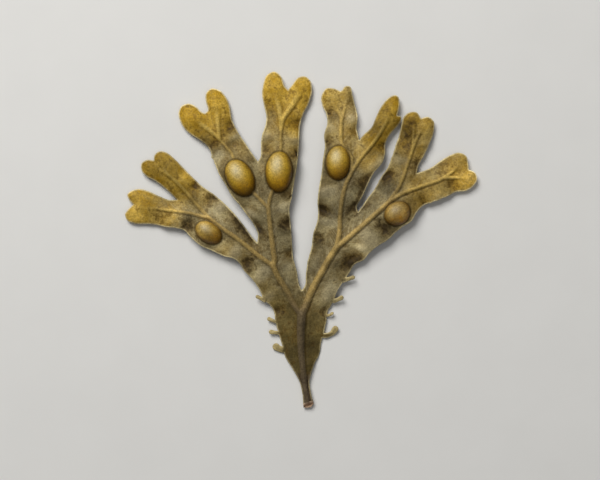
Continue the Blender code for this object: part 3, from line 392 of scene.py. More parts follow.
# Lighter and darker places of the blade and its ribs, partly its own tone and partly painted light
# and painted shade: a strength of 0.5 is half as light again, and one of -0.5 is half as light.
TONE_AND_SHADE: tuple[Spot, ...] = tuple(Spot(*values) for values in (
    # The outer left branch
    (-49.5, 12.8, 3.2, 0.32), (-48.8, 6.8, 3.0, 0.3), (-45.8, 8.4, 2.8, -0.28),
    (-42.6, 8.6, 2.4, -0.15), (-38.8, 7.4, 3.2, 0.85), (-41.0, 12.8, 2.6, -0.3),
    (-37.6, 12.2, 1.8, -0.25), (-42.3, 21.5, 6.0, -0.34), (-34.8, 15.8, 4.0, -0.4),
    (-24.6, 7.4, 4.2, 0.85), (-31.6, 1.0, 2.0, 0.5), (-27.6, 2.2, 3.0, -0.35),
    (-23.7, -2.6, 2.8, 0.9), (-12.9, -3.0, 2.4, 0.35), (-13.6, -9.6, 2.0, 0.25),
    (-7.8, -7.2, 1.5, 0.25), (-17.0, 4.4, 1.8, -0.35), (-19.6, -3.4, 2.2, -0.1),
    (-31.8, 12.0, 2.0, -0.3), (-36.0, 8.8, 2.4, 0.45), (-23.4, 0.6, 1.4, -0.35),
    (-35.0, 18.8, 1.8, 0.5), (-29.8, 13.8, 1.4, 0.4), (-29.2, 6.4, 2.0, 0.8),
    (-32.8, 3.0, 1.8, 0.4), (-37.8, 21.0, 3.0, -0.2),
    # The inner left branch
    (-33.6, 38.2, 3.4, 0.42), (-25.6, 43.2, 3.0, 0.46), (-26.7, 36.0, 2.6, 0.15),
    (-30.0, 32.4, 2.6, -0.3), (-28.4, 29.2, 2.0, -0.22), (-21.6, 34.6, 2.2, -0.25),
    (-21.9, 32.0, 2.2, -0.12), (-24.8, 22.8, 2.8, 0.7), (-18.2, 27.0, 3.0, 0.42),
    (-15.2, 17.0, 1.6, 0.2), (-22.0, 17.0, 2.2, -0.2), (-15.6, 13.6, 1.8, -0.2),
    (-14.5, 10.0, 2.4, 0.7), (-8.5, 47.0, 3.4, 0.42), (1.0, 45.6, 3.4, 0.36),
    (-4.2, 41.2, 2.6, 0.12), (-9.6, 38.0, 2.2, -0.26), (-1.0, 39.4, 2.2, 0.2),
    (-9.0, 33.8, 2.6, 0.85), (-1.7, 31.4, 2.0, 0.4), (-10.4, 26.2, 1.8, 0.35),
    (-4.7, 37.6, 2.2, 0.2), (-7.5, 38.4, 1.5, 0.2), (-3.8, 10.6, 1.8, 0.3),
    (-11.5, 21.4, 2.2, 0.75), (-5.2, 16.4, 2.2, 0.35), (-12.0, 6.6, 3.0, -0.3),
    (-1.4, 19.6, 1.6, -0.4), (-13.4, 3.0, 1.8, -0.35), (-3.0, 1.6, 2.0, -0.2),
    (-5.8, 2.4, 2.4, -0.42), (-5.4, -9.0, 3.0, -0.16), (-7.6, -12.6, 3.6, -0.14),
    (-4.2, -13.4, 2.0, -0.15), (-4.4, -28.4, 3.0, 0.52), (-5.4, -20.2, 2.0, 0.2),
    # The inner right branch
    (9.4, 42.6, 2.8, 0.22), (14.8, 37.6, 2.6, 1.2), (13.6, 32.6, 2.4, 0.8),
    (14.7, 42.2, 1.8, -0.15), (12.6, 29.0, 1.8, 0.3), (7.2, 20.6, 1.4, -0.35),
    (9.8, 33.2, 2.2, 0.4), (10.0, 43.4, 2.4, 0.15), (10.4, 23.6, 2.4, 0.12),
    (26.4, 37.6, 4.6, -0.2), (28.2, 39.6, 1.8, 0.55), (24.2, 38.8, 2.0, -0.15),
    (22.2, 33.4, 3.6, -0.52), (20.8, 21.6, 3.0, 0.6), (17.8, 17.6, 1.6, 0.35),
    (17.4, 27.0, 2.4, 0.3), (17.0, 13.4, 1.4, 0.35), (22.8, 28.8, 2.0, -0.2),
    (16.4, 15.0, 2.6, -0.34), (13.6, 10.0, 3.0, -0.32), (5.6, 9.4, 1.6, -0.25),
    (7.4, 17.0, 2.4, 0.3), (9.4, 7.6, 2.6, -0.35), (8.6, 2.0, 3.0, 0.4), (4.2, -4.0, 1.8, 0.2),
    (17.0, 22.0, 2.0, -0.12), (5.6, -1.2, 2.4, -0.2), (4.4, -8.6, 2.4, -0.28),
    (13.0, 7.6, 1.8, -0.15),
    # The outer right branch
    (32.0, 32.6, 4.4, -0.52), (37.0, 35.0, 2.8, 0.15), (30.4, 28.6, 1.8, 0.3),
    (34.6, 24.4, 2.0, 0.3), (30.4, 24.6, 2.8, -0.26), (33.4, 36.2, 1.4, 0.3),
    (26.3, 16.4, 3.2, -0.5), (22.4, 13.4, 1.6, 0.3), (42.4, 20.6, 3.0, 0.35),
    (49.8, 17.8, 4.6, 1.3), (46.4, 16.4, 2.0, 0.3), (45.6, 14.4, 2.2, -0.25),
    (39.2, 14.2, 3.0, 0.5), (33.6, 11.6, 2.0, -0.26), (46.0, 23.0, 3.0, 0.2),
    (30.8, 5.8, 2.2, 0.9), (26.6, 3.4, 1.8, -0.4), (28.4, 8.4, 2.4, -0.15), (23.8, 0.8, 1.8, -0.2),
    (15.6, 0.2, 4.6, 0.85), (17.5, -3.4, 1.9, 1.0), (10.8, -7.2, 1.6, -0.35),
    (14.8, -8.0, 2.0, -0.3), (17.4, -6.0, 1.5, -0.35),
    # The ribs and the blade beside the trunk's right side
    (21.0, 7.0, 1.8, 0.35), (25.0, 9.8, 2.0, 0.75), (32.6, 15.0, 1.6, 0.3), (6.4, -9.6, 1.4, 0.8),
    (4.9, -12.2, 1.2, 0.4), (3.2, -14.6, 1.3, 0.3), (9.0, -4.9, 1.4, 0.6), (19.4, 5.2, 1.4, 0.35),
    (28.6, 11.9, 1.4, 0.4), (12.2, -11.4, 2.2, 0.4), (5.0, -15.6, 2.6, 0.55),
    (2.6, -19.6, 4.2, 0.4), (9.8, -16.4, 2.6, 0.2), (5.6, -27.8, 2.0, 0.45),
    (4.3, -35.2, 1.5, 0.45), (-0.5, -30.0, 1.4, 0.2), (2.5, -31.0, 2.2, -0.32),
    (2.4, -26.6, 1.8, -0.2),
))

# Cuts: each starts in a fork or on another cut and ends past the margin.
LEFT_CUT_CENTRE: Point = (-12.0, 12.3)
RIGHT_CUT_BEND: Point = (15.5, 23.4)
RIGHT_CUT_CENTRE: Point = (12.9, 16.8)
CUTS: tuple[tuple[Point, Point], ...] = (
    (TRUNK_FORK, (-9.5, -20.7)),
    (TRUNK_FORK, (9.4, -20.3)),
    (LEFT_FORK, (-17.7, -8.9)),
    (LEFT_FORK, (-2.1, -1.1)),
    (RIGHT_FORK, (4.5, 7.3)),
    (RIGHT_FORK, (23.8, -1.9)),
    (LEFT_OUTER_FORK, (-30.9, 18.1)),
    (LEFT_OUTER_FORK, (-38.7, 3.0)),
    (LEFT_INNER_FORK, LEFT_CUT_CENTRE),
    (LEFT_CUT_CENTRE, (-19.7, 11.3)),
    (LEFT_CUT_CENTRE, (-2.3, 11.0)),
    (RIGHT_INNER_FORK, RIGHT_CUT_BEND),
    (RIGHT_CUT_BEND, RIGHT_CUT_CENTRE),
    (RIGHT_CUT_CENTRE, (4.6, 14.8)),
    (RIGHT_CUT_CENTRE, (21.5, 18.5)),
    (RIGHT_OUTER_FORK, (26.1, 23.8)),
    (RIGHT_OUTER_FORK, (38.4, 10.1)),
)


def smooth_step(value: np.ndarray) -> np.ndarray:
    """Return 0 below 0 and 1 above 1, with an easy change between."""
    part = np.clip(value, 0.0, 1.0)
    return part * part * (3.0 - 2.0 * part)


def smooth_max(first: np.ndarray, second: np.ndarray, blend: float) -> np.ndarray:
    """Return the larger of two heights, rounded where they meet.

    Args:
        first: One height for each point.
        second: The other height for each point.
        blend: How far apart the heights may be and still blend.

    Returns:
        The blended height for each point.
    """
    near = np.clip(blend - np.abs(first - second), 0.0, None) / blend
    return np.maximum(first, second) + near * near * blend / 4.0


def smooth_curve(points: Sequence[Point], step: float, fineness: int = 1) -> np.ndarray:
    """Lay a smooth curve through points.

    Args:
        points: The points that the curve passes through.
        step: Wanted distance between samples.
        fineness: Number of finer samples for each step.

    Returns:
        The samples, one row each, from the first point to the last.
    """
    route = np.array(points)
    chords = np.linalg.norm(np.diff(route, axis=0), axis=1)
    reach = np.concatenate(((0.0,), np.cumsum(chords)))
    slopes = np.gradient(route, reach, axis=0)
    count = max(1, round(reach[-1] / step)) * fineness
    places = np.linspace(0.0, reach[-1], count + 1)
    left = np.clip(np.searchsorted(reach, places, side="right") - 1, 0, len(chords) - 1)
    span = chords[left][:, None]
    part = (places - reach[left])[:, None] / span
    start = (1.0 + 2.0 * part) * (1.0 - part) ** 2
    end = part ** 2 * (3.0 - 2.0 * part)
    leaving = part * (1.0 - part) ** 2 * span
    arriving = part ** 2 * (part - 1.0) * span
    return (start * route[left] + end * route[left + 1]
            + leaving * slopes[left] + arriving * slopes[left + 1])


def grain(points: np.ndarray, size: float, seed: float) -> np.ndarray:
    """Return smooth noise from -1 to 1 over the plan.

    Args:
        points: Plan points, one row each.
        size: Size of the noise's features.
        seed: Picks one of many noise fields.

    Returns:
        The noise at each point.
    """
    return np.array([noise.noise(Vector((x / size, y / size, seed))) for x, y in points])


@dataclass(frozen=True)
class Ripple:
    """Smooth noise over the plan: its height and the size of its features, in millimetres."""

    rise: float
    size: float
    seed: float

    def height(self, points: np.ndarray) -> np.ndarray:
        """Return the ripple's height at each plan point."""
        return self.rise * grain(points, self.size, self.seed)


def tree_of(points: np.ndarray) -> kdtree.KDTree:
    """Return a search tree over points of the plan.

    Args:
        points: Plan points, one row each.

    Returns:
        The tree, whose indices are the rows.
    """
    tree = kdtree.KDTree(len(points))
    for index, (x, y) in enumerate(points):
        tree.insert((x, y, 0.0), index)
    tree.balance()
    return tree


def gaps_to(tree: kdtree.KDTree, points: np.ndarray) -> np.ndarray:
    """Return each point's distance to the nearest point of a tree."""
    return np.array([tree.find((x, y, 0.0))[2] for x, y in points])


def inside_loop(points: np.ndarray, loop: np.ndarray) -> np.ndarray:
    """Tell which points lie inside a closed loop.

    Args:
        points: Plan points, one row each.
        loop: The loop's corners, one row each.

    Returns:
        True for each point inside.
    """
    inside = np.zeros(len(points), dtype=bool)
    for (x0, y0), (x1, y1) in zip(loop, np.roll(loop, -1, axis=0)):
        if y0 == y1:
            continue
        crosses = (points[:, 1] < y0) != (points[:, 1] < y1)
        inside ^= crosses & (points[:, 0] < x0 + (points[:, 1] - y0) * (x1 - x0) / (y1 - y0))
    return inside


def across_of(route: np.ndarray) -> tuple[np.ndarray, np.ndarray]:
    """Return the directions of a route.

    Args:
        route: The route's samples, one row each.

    Returns:
        The unit directions along it and across it, one row for each sample.
    """
    along = np.gradient(route, axis=0)
    along /= np.linalg.norm(along, axis=1)[:, None]
    return along, np.column_stack((-along[:, 1], along[:, 0]))


@dataclass
class Margin:
    """The frond's closed margin with its leaflets, slightly uneven as grown.

    The coarse loops are mesh edges. The fine samples lie on the outer rim only, and are what the
    distance from the rim is measured to.
    """

    step: float = 0.3
    fineness: int = 6
    wobble: float = 0.06
    wobble_size: float = 0.8
    wobble_seeds: tuple[float, float] = (3.7, 8.1)
    crinkle_size: float = 1.3
    crinkle_seeds: tuple[float, float] = (5.2, 7.4)
    leaflet_flare: float = 0.8
    leaflet_flare_reach: float = 0.35
    leaflet_swell: float = 0.9
    leaflet_cap_turns: int = 6
    coarse: list[np.ndarray] = field(default_factory=list)
    fine: np.ndarray = field(default_factory=lambda: np.zeros((0, 2)))

    def uneven(self, points: np.ndarray) -> np.ndarray:
        """Return plan points moved a little by noise, the same way at the same place.

        Args:
            points: Plan points, one row each.

        Returns:
            The moved points.
        """
        small = np.column_stack([grain(points, self.wobble_size, seed)
                                 for seed in self.wobble_seeds])
        large = np.column_stack([grain(points, self.crinkle_size, seed)
                                 for seed in self.crinkle_seeds])
        crinkle = np.zeros(len(points))
        for spot in CRINKLES:
            fade = np.exp(-(spot.gaps_to(points) / spot.reach) ** 4)
            crinkle = np.maximum(crinkle, spot.strength * fade)
        return points + self.wobble * small + crinkle[:, None] * (large + 0.5 * small)

    def leaflet_loop(self, leaflet: Leaflet, fineness: int) -> np.ndarray:
        """Return the outline of a leaflet.

        Args:
            leaflet: The leaflet.
            fineness: Number of finer samples for each step.

        Returns:
            The closed outline, one row for each sample.
        """
        middle = smooth_curve(leaflet.route, self.step, fineness)
        along, across = across_of(middle)
        share = np.linspace(0.0, 1.0, len(middle))[:, None]
        half = (leaflet.stalk + (leaflet.head - leaflet.stalk) * share ** self.leaflet_swell) / 2.0
        half *= 1.0 + self.leaflet_flare * np.exp(-(share / self.leaflet_flare_reach) ** 2)
        turns = np.linspace(90.0, -90.0, self.leaflet_cap_turns * fineness + 1)[1:-1]
        cap = [middle[-1] + leaflet.head / 2.0 * (across[-1] * math.sin(turn)
                                                  + along[-1] * math.cos(turn))
               for turn in np.radians(turns)]
        return np.concatenate((middle + across * half, cap, (middle - across * half)[::-1]))

    def draw(self) -> None:
        """Draw the coarse loops, and the fine samples of the rim that they enclose."""
        runs = [smooth_curve(run, self.step, self.fineness)[:-1] for run in MARGIN_RUNS]
        fine = self.uneven(np.concatenate(runs))
        main = fine[::self.fineness]
        self.coarse = [main]
        rims = []
        for leaflet in LEAFLETS:
            self.coarse.append(self.leaflet_loop(leaflet, 1))
            rim = self.leaflet_loop(leaflet, self.fineness)
            rims.append(rim[~inside_loop(rim, main)])
            fine = fine[~inside_loop(fine, self.coarse[-1])]
        self.fine = np.concatenate([fine] + rims)


@dataclass
class Skin:
    """The frond's two skins over the plan: their heights, and masks for the finish."""

    upper: np.ndarray
    lower: np.ndarray
    middle: np.ndarray
    masks: dict[str, np.ndarray]

    def lift(self, rise: np.ndarray) -> None:
        """Move both skins and the middle between them up.

        Args:
            rise: How far, for each point.
        """
        self.upper = self.upper + rise
        self.lower = self.lower + rise
        self.middle = self.middle + rise


@dataclass
class Pigment:
    """Where the tissue is golden, cream, olive, light or dark, in millimetres; the light and dark
    are partly its own tone and partly painted light and shade.
    """

    gold_core: float = 0.45
    cream_core: float = 0.5
    cream_fade: float = 2.4
    base_start: float = -12.0
    base_slant: float = 0.35
    base_fade: float = 12.0
    low_start: float = -25.0
    low_slant: float = 0.3
    low_fade: float = 7.0
    low_on_stalk: float = 0.5

    def masks(self, points: np.ndarray, stalk: np.ndarray) -> dict[str, np.ndarray]:
        """Measure the pigment.

        Args:
            points: Plan points, one row each.
            stalk: The share of each point that belongs to the stalk.

        Returns:
            The masks by name.
        """
        gold = np.zeros(len(points))
        for spot in GOLD:
            past_core = spot.gaps_to(points) - self.gold_core * spot.reach
            gold = np.maximum(gold, spot.strength * (1.0 - smooth_step(past_core / spot.reach)))
        cream = np.zeros(len(points))
        for leaflet in LEAFLETS:
            apart = np.linalg.norm(points - np.array(leaflet.route[-1]), axis=1)
            fade = smooth_step((apart - self.cream_core) / self.cream_fade)
            cream = np.maximum(cream, 1.0 - fade)
        # Lighter and darker spots, partly the tissue's own tone and partly painted light and shade
        shade = np.zeros(len(points))
        for spot in TONE_AND_SHADE:
            shade += spot.strength * np.exp(-(spot.gaps_to(points) / spot.reach) ** 2)
        x, y = points.T
        base = smooth_step((self.base_start - self.base_slant * x - y) / self.base_fade)
        low = smooth_step((self.low_start - self.low_slant * x - y) / self.low_fade)
        low = low * (1.0 - self.low_on_stalk * stalk)
        return {"gold": gold, "cream": cream, "shade": shade, "base": base, "low": low}


@dataclass
class Relief:
    """The heights of the frond over the table, in millimetres."""

    # The blade, its margin and its ripe tips
    blade: float = 0.9
    thin_margin: float = 0.5
    margin_reach: float = 2.2
    rim_radius: float = 0.34
    tip_swell: float = 1.0
    tip_reach: float = 9.0
    least: float = 0.12
    least_rim: float = 0.1
    least_middle: float = 0.05
    drape_power: float = 3.0
    drape_rounding: float = 0.7
    fold_share: float = 0.6
    rim_waves: tuple[Ripple, ...] = (Ripple(0.42, 3.4, 1.3), Ripple(0.16, 1.5, 5.9))
    rim_wave_reach: float = 2.6
    blade_wave: Ripple = Ripple(0.16, 2.6, 9.2)
    crinkles: tuple[Ripple, ...] = (Ripple(0.035, 0.75, 2.4), Ripple(0.05, 1.3, 6.6))
    # The dark of the folds, painted shade, lies to one side of them, away from the light
    lee: tuple[float, float] = (0.47, -0.88)
    fold_shade_shift: float = -0.35
    fold_shade_spread: float = 1.35
    pigment: Pigment = field(default_factory=Pigment)
    # The midribs and the grooves beside them, whose dark is painted shade, deeper away from the
    # light
    rib_step: float = 0.1
    rib_above: float = 0.95
    rib_below: float = 0.4
    rib_full: float = 3.0
    rib_thinning: float = 1.25
    rib_shape: float = 1.6
    rib_union: float = 6.0
    rib_reach: float = 6.0
    arch_height: float = 0.6
    arch_reach: float = 2.7
    groove_depth: float = 0.2
    groove_width: float = 0.3
    groove_place: float = 1.06
    groove_lit: float = 0.45
    groove_fade: float = 4.0
    vein_slant: float = 1.3
    # The stipe: a thick strap with a raised middle and raised edges, cut off at a slant
    stipe_top: float = -43.0
    stipe_blend: float = 6.0
    stipe_above: float = 0.95
    stipe_half_height: float = 1.35
    stipe_half_width: float = 1.4
    stipe_edge_share: float = 0.3
    stipe_rib: float = 0.4
    stipe_groove: float = 1.1
    stipe_groove_width: float = 0.3
    stipe_groove_depth: float = 0.35
    stipe_edge: float = 0.3
    stipe_edge_width: float = 0.22
    stipe_edge_rise: float = 0.12
    cut_slant: float = 1.1
    cut_blend: float = 0.25
    cut_below: float = -44.0
    cut_top: float = 0.95
    cut_fall: float = 1.75
    pith_half_width: float = 0.75
    pith_half_slope: float = 0.32
    pith_depth: float = 0.3
    # The bladders: reaches are squared shares of a bladder's outline
    bladder_depth: float = 0.9
    bladder_settle: float = 0.2
    bladder_fillet: float = 0.3
    bladder_reach: float = 2.2
    pull_end: float = 1.9
    pull_fade: float = 0.9
    proud_fade: float = 0.35
    proud_start: float = 0.3
    shown_end: float = 1.06
    shown_fade: float = 0.1
    crease_place: float = 1.03
    crease_width: float = 0.12
    # Where the bladders' painted highlight lies, shifted toward the light, and its size
    crown_shift: float = 0.42
    crown_size: float = 0.5

    def bladder_level(self, bladder: Bladder) -> float:
        """Return the height of a bladder's centre, settled a little onto its underside."""
        return bladder.half_width * self.bladder_depth - self.bladder_settle

    def drape(self, points: np.ndarray) -> np.ndarray:
        """Return the height of the blade's middle: smooth between the resting places.

        Args:
            points: Plan points, one row each.

        Returns:
            The height at each point.
        """
        anchors = list(DRAPE)
        anchors += [(*bladder.centre, self.bladder_level(bladder)) for bladder in BLADDERS]
        total = np.zeros(len(points))
        weights = np.zeros(len(points))
        for x, y, z in anchors:
            apart = (points[:, 0] - x) ** 2 + (points[:, 1] - y) ** 2
            weight = (apart + self.drape_rounding ** 2) ** (-self.drape_power / 2.0)
            total += weight * z
            weights += weight
        return total / weights

    def folds(self, points: np.ndarray, spread: float = 1.0) -> np.ndarray:
        """Measure the folds.

        Args:
            points: Plan points, one row each.
            spread: How much wider than it is each fold is taken to be.

        Returns:
            How far the folds lift or lower the blade.
        """
        height = np.zeros(len(points))
        for fold in FOLDS:
            height += fold.rise * np.exp(-(fold.off_middle(points) / spread) ** 2)
        return height

    def crest(self, rib: Midrib) -> tuple[np.ndarray, np.ndarray, np.ndarray, np.ndarray]:
        """Sample a midrib's crest.

        Args:
            rib: The midrib.

        Returns:
            The samples, and for each the run up to it, the midrib's width there and its height
            as a share of a full midrib's.
        """
        samples = smooth_curve(rib.route, self.rib_step)
        steps = np.linalg.norm(np.diff(samples, axis=0), axis=1)
        run = np.concatenate(((0.0,), np.cumsum(steps)))
        widths = np.linspace(rib.first_width, rib.last_width, len(samples))
        sizes = np.minimum(1.0, widths / self.rib_full) ** self.rib_thinning
        if rib.fade > 0.0:
            sizes *= smooth_step((run[-1] - run) / rib.fade)
        return samples, run, widths, sizes

    def ribs(self, points: np.ndarray) -> dict[str, np.ndarray]:
        """Measure the midribs.

        Args:
            points: Plan points, one row each.

        Returns:
            The ridge's height as a share of a full midrib, the same for its grooves, whose share is
            larger on the side away from the light for their painted shade, the run along the
            nearest midrib, slanted as its veins are, and the distance from it.
        """
        rises = np.zeros(len(points))
        groove_and_shade = np.zeros(len(points))
        course = np.zeros(len(points))
        aside = np.full(len(points), self.rib_reach)
        for rib in MIDRIBS:
            crest, run, widths, sizes = self.crest(rib)
            near = np.flatnonzero(np.all((points > crest.min(axis=0) - self.rib_reach)
                                         & (points < crest.max(axis=0) + self.rib_reach), axis=1))
            tree = tree_of(crest)
            found = [tree.find((x, y, 0.0)) for x, y in points[near]]
            nearest = np.array([hit[1] for hit in found])
            apart = np.array([hit[2] for hit in found])
            foot = widths[nearest] / 2.0
            size = sizes[nearest]
            rise = size * np.clip(1.0 - (apart / foot) ** 2, 0.0, None) ** self.rib_shape
            rises[near] += rise ** self.rib_union
            # The groove's painted shade is darker on the side away from the light
            lee = (points[near] - crest[nearest]) @ np.array(self.lee) / np.maximum(apart, 0.01)
            past = (apart - self.groove_place * foot) / self.groove_width
            dark = np.clip(self.groove_lit + (1.0 - self.groove_lit) * lee, 0.0, 1.0)
            groove_and_shade[near] = np.maximum(groove_and_shade[near], np.exp(-past * past) * np.sqrt(size) * dark)
            closer = apart < aside[near]
            chosen = near[closer]
            aside[chosen] = apart[closer]
            course[chosen] = run[nearest[closer]] - self.vein_slant * apart[closer]
        ridge = np.minimum(1.0, rises ** (1.0 / self.rib_union))
        groove_and_shade *= 1.0 - smooth_step(ridge * self.groove_fade)
        return {"ridge": ridge, "groove_and_shade": groove_and_shade, "course": course, "aside": aside}

    def blade_skin(self, points: np.ndarray, rim: np.ndarray,
                   masks: dict[str, np.ndarray]) -> Skin:
        """Lay the blade with its folds and midribs.

        Args:
            points: Plan points, one row each.
            rim: 1 inside the rounded rim, falling to 0 on the margin.
            masks: The masks measured so far.

        Returns:
            The blade's skins.
        """
        inward = masks["inward"]
        ridge = masks["ridge"]
        fold = self.fold_share * self.folds(points)
        fold += np.exp(-inward / self.rim_wave_reach) * sum(
            wave.height(points) for wave in self.rim_waves)
        fold += self.blade_wave.height(points)
        swell = np.zeros(len(points))
        for notch in NOTCHES:
            apart = np.linalg.norm(points - np.array(notch), axis=1)
            swell = np.maximum(swell, np.exp(-(apart / self.tip_reach) ** 2))
        plump = np.sqrt(smooth_step(inward / self.margin_reach))
        half = rim * (self.thin_margin + (self.blade - self.thin_margin
                                          + self.tip_swell * swell) * plump) / 2.0
        arch = self.arch_height * np.exp(-(masks["aside"] / self.arch_reach) ** 2)
        arch = arch * (1.0 - masks["stalk"])
        middle = self.drape(points) + fold + arch
        crinkle = sum(ripple.height(points) for ripple in self.crinkles)
        upper = middle + half + rim * (
            self.rib_above * ridge - self.groove_depth * masks["groove_and_shade"] + crinkle * (1.0 - ridge))
        lower = middle - half - rim * self.rib_below * ridge
        return Skin(upper, lower, middle, masks)

    def thicken_stipe(self, skin: Skin, rim: np.ndarray) -> None:
        """Turn the skin's stalk into a thick strap.

        Args:
            skin: The skin to change.
            rim: 1 inside the rounded rim, falling to 0 on the margin.
        """
        masks = skin.masks
        fullness = self.stipe_edge_share * rim ** 2 + (1.0 - self.stipe_edge_share) * smooth_step(
            masks["inward"] / self.stipe_half_width)
        plump = np.sqrt(fullness)
        beside = (masks["aside"] - self.stipe_groove) / self.stipe_groove_width
        masks["groove_and_shade"] = np.maximum(masks["groove_and_shade"], np.exp(-beside ** 2) * masks["stalk"])
        off_edge = (masks["inward"] - self.stipe_edge) / self.stipe_edge_width
        strap = skin.middle + self.stipe_above * plump + rim * (
            self.stipe_rib * masks["ridge"] - self.stipe_groove_depth * masks["groove_and_shade"]
            + self.stipe_edge_rise * np.exp(-off_edge ** 2))
        belly = skin.middle - self.stipe_half_height * plump
        skin.upper += masks["stalk"] * (strap - skin.upper)
        skin.lower += masks["stalk"] * (belly - skin.lower)

    def crown(self, bladder: Bladder, points: np.ndarray) -> np.ndarray:
        """Return how near each point is to a bladder's painted highlight, shifted toward the light.

        Args:
            bladder: The bladder.
            points: Plan points, one row each.

        Returns:
            1 at the painted highlight, falling to 0 round it.
        """
        offset = points - np.array(bladder.centre)
        apart = np.zeros(len(points))
        for way, half in zip(bladder.axes(), (bladder.half_length, bladder.half_width)):
            lit = -self.crown_shift * float(way @ np.array(self.lee))
            apart += (offset @ way / half - lit) ** 2
        return np.exp(-apart / self.crown_size ** 2)

    def swell_bladders(self, skin: Skin, points: np.ndarray) -> None:
        """Swell the bladders out of both skins, and mark them.

        Args:
            skin: The skin to change.
            points: Plan points, one row each.
        """
        marks = {name: np.zeros(len(points))
                 for name in ("bladder", "crease", "tone", "shade_side", "crown", "outer")}
        for bladder in BLADDERS:
            off = bladder.off_centre(points)
            near = off < self.bladder_reach
            level = self.bladder_level(bladder)
            depth = bladder.half_width * self.bladder_depth
            dome = depth * np.sqrt(np.clip(1.0 - off, 0.0, 1.0))
            pull = smooth_step((self.pull_end - off) / self.pull_fade) * near
            skin.lift(pull * (level - skin.middle))
            proud = level + dome - skin.upper
            shown = smooth_step(proud / self.proud_fade + self.proud_start)
            shown = shown * smooth_step((self.shown_end - off) / self.shown_fade)
            crease = np.exp(-((off - self.crease_place) / self.crease_width) ** 2) * near
            # How far toward the side away from the light, for the bladders' painted shade
            lee = (points - np.array(bladder.centre)) @ np.array(self.lee) / bladder.half_width
            marks["bladder"] = np.maximum(marks["bladder"], shown)
            marks["crease"] = np.maximum(marks["crease"], crease)
            marks["crown"] = np.maximum(marks["crown"], self.crown(bladder, points) * near)
            marks["tone"] = np.where(near, bladder.gold, marks["tone"])
            marks["shade_side"] = np.where(near, lee, marks["shade_side"])
            marks["outer"] = np.where(near, off, marks["outer"])
            above = smooth_max(skin.upper, level + dome, self.bladder_fillet)
            below = -smooth_max(-skin.lower, dome - level, self.bladder_fillet)
            skin.upper = np.where(near, above, skin.upper)
            skin.lower = np.where(near, below, skin.lower)
        skin.masks.update(marks)

    def cut_stipe(self, skin: Skin, points: np.ndarray) -> None:
        """Cut the stipe off at a slant, with a sunken pith in its face.

        Args:
            skin: The skin to change.
            points: Plan points, one row each.
        """
        left = np.array(CUT_LEFT)
        way = np.array(CUT_RIGHT) - left
        way /= np.linalg.norm(way)
        up = np.array((-way[1], way[0]))
        past = self.cut_slant - (points - left) @ up
        middle = (left + np.array(CUT_RIGHT)) / 2.0
        aside = np.abs((points - middle) @ way)
        cut = smooth_step(past / self.cut_blend + 0.5) * (points[:, 1] < self.cut_below)
        slope = np.clip(past / self.cut_slant, 0.0, 1.0)
        pith = np.exp(-(aside / self.pith_half_width) ** 2
                      - ((slope - 0.5) / self.pith_half_slope) ** 2) * cut
        face = skin.middle + self.stipe_half_height * (self.cut_top - self.cut_fall * slope)
        face = face - self.pith_depth * pith
        skin.upper = np.where(cut > 0.5, np.minimum(skin.upper, face), skin.upper)
        skin.masks.update({"cut": cut, "pith": pith})

    def measure(self, points: np.ndarray, margin: Margin) -> Skin:
        """Measure the whole skin.

        Args:
            points: Plan points, one row each.
            margin: The frond's margin.

        Returns:
            Heights, and masks for the finish.
        """
        inward = gaps_to(tree_of(margin.fine), points)
        rim = np.sqrt(1.0 - (1.0 - np.clip(inward / self.rim_radius, 0.0, 1.0)) ** 2)
        stalk = 1.0 - smooth_step((points[:, 1] - self.stipe_top) / self.stipe_blend)
        # The finish's fold mask is shifted and widened, for the folds' painted shade and highlight
        shift = np.array(self.lee) * self.fold_shade_shift
        masks = {
            **self.ribs(points),
            "inward": inward,
            "fold": self.folds(points + shift, self.fold_shade_spread),
            "stalk": stalk,
            **self.pigment.masks(points, stalk),
        }
        skin = self.blade_skin(points, rim, masks)
        self.thicken_stipe(skin, rim)
        self.swell_bladders(skin, points)
        self.cut_stipe(skin, points)
        skin.lower = np.maximum(skin.lower, 0.0)
        thinnest = skin.lower + self.least * np.clip(rim, self.least_rim, 1.0)
        skin.upper = np.maximum(skin.upper, thinnest)
        skin.middle = np.clip(skin.middle, self.least_middle, None)
        return skin


@dataclass(frozen=True)
class FrondPiece:
    """One piece of the frond: its node, a place inside it and its tissue."""

    name: str
    inside: Point
    tissue: Tissue


PIECES: tuple[FrondPiece, ...] = (
    FrondPiece("stipe", (0.0, -33.0), Tissue.STIPE),
    FrondPiece("left_branch", (-6.3, -11.0), Tissue.BLADE),
    FrondPiece("right_branch", (6.0, -8.0), Tissue.BLADE),
    FrondPiece("left_outer_branch", (-22.0, 2.0), Tissue.BLADE),
    FrondPiece("left_inner_branch", (-9.3, 4.5), Tissue.BLADE),
    FrondPiece("right_inner_branch", (11.1, 12.0), Tissue.BLADE),
    FrondPiece("right_outer_branch", (22.2, 7.5), Tissue.BLADE),
    FrondPiece("left_outer_lower_tip", (-45.3, 9.6), Tissue.TIP),
    FrondPiece("left_outer_upper_tip", (-39.3, 20.4), Tissue.TIP),
    FrondPiece("left_inner_left_tip", (-23.7, 29.1), Tissue.TIP),
    FrondPiece("left_inner_right_tip", (-5.7, 34.5), Tissue.TIP),
    FrondPiece("right_inner_left_tip", (11.7, 34.5), Tissue.TIP),
    FrondPiece("right_inner_right_tip", (22.2, 28.5), Tissue.TIP),
    FrondPiece("right_outer_upper_tip", (32.7, 27.0), Tissue.TIP),
    FrondPiece("right_outer_lower_tip", (41.7, 18.0), Tissue.TIP),
)


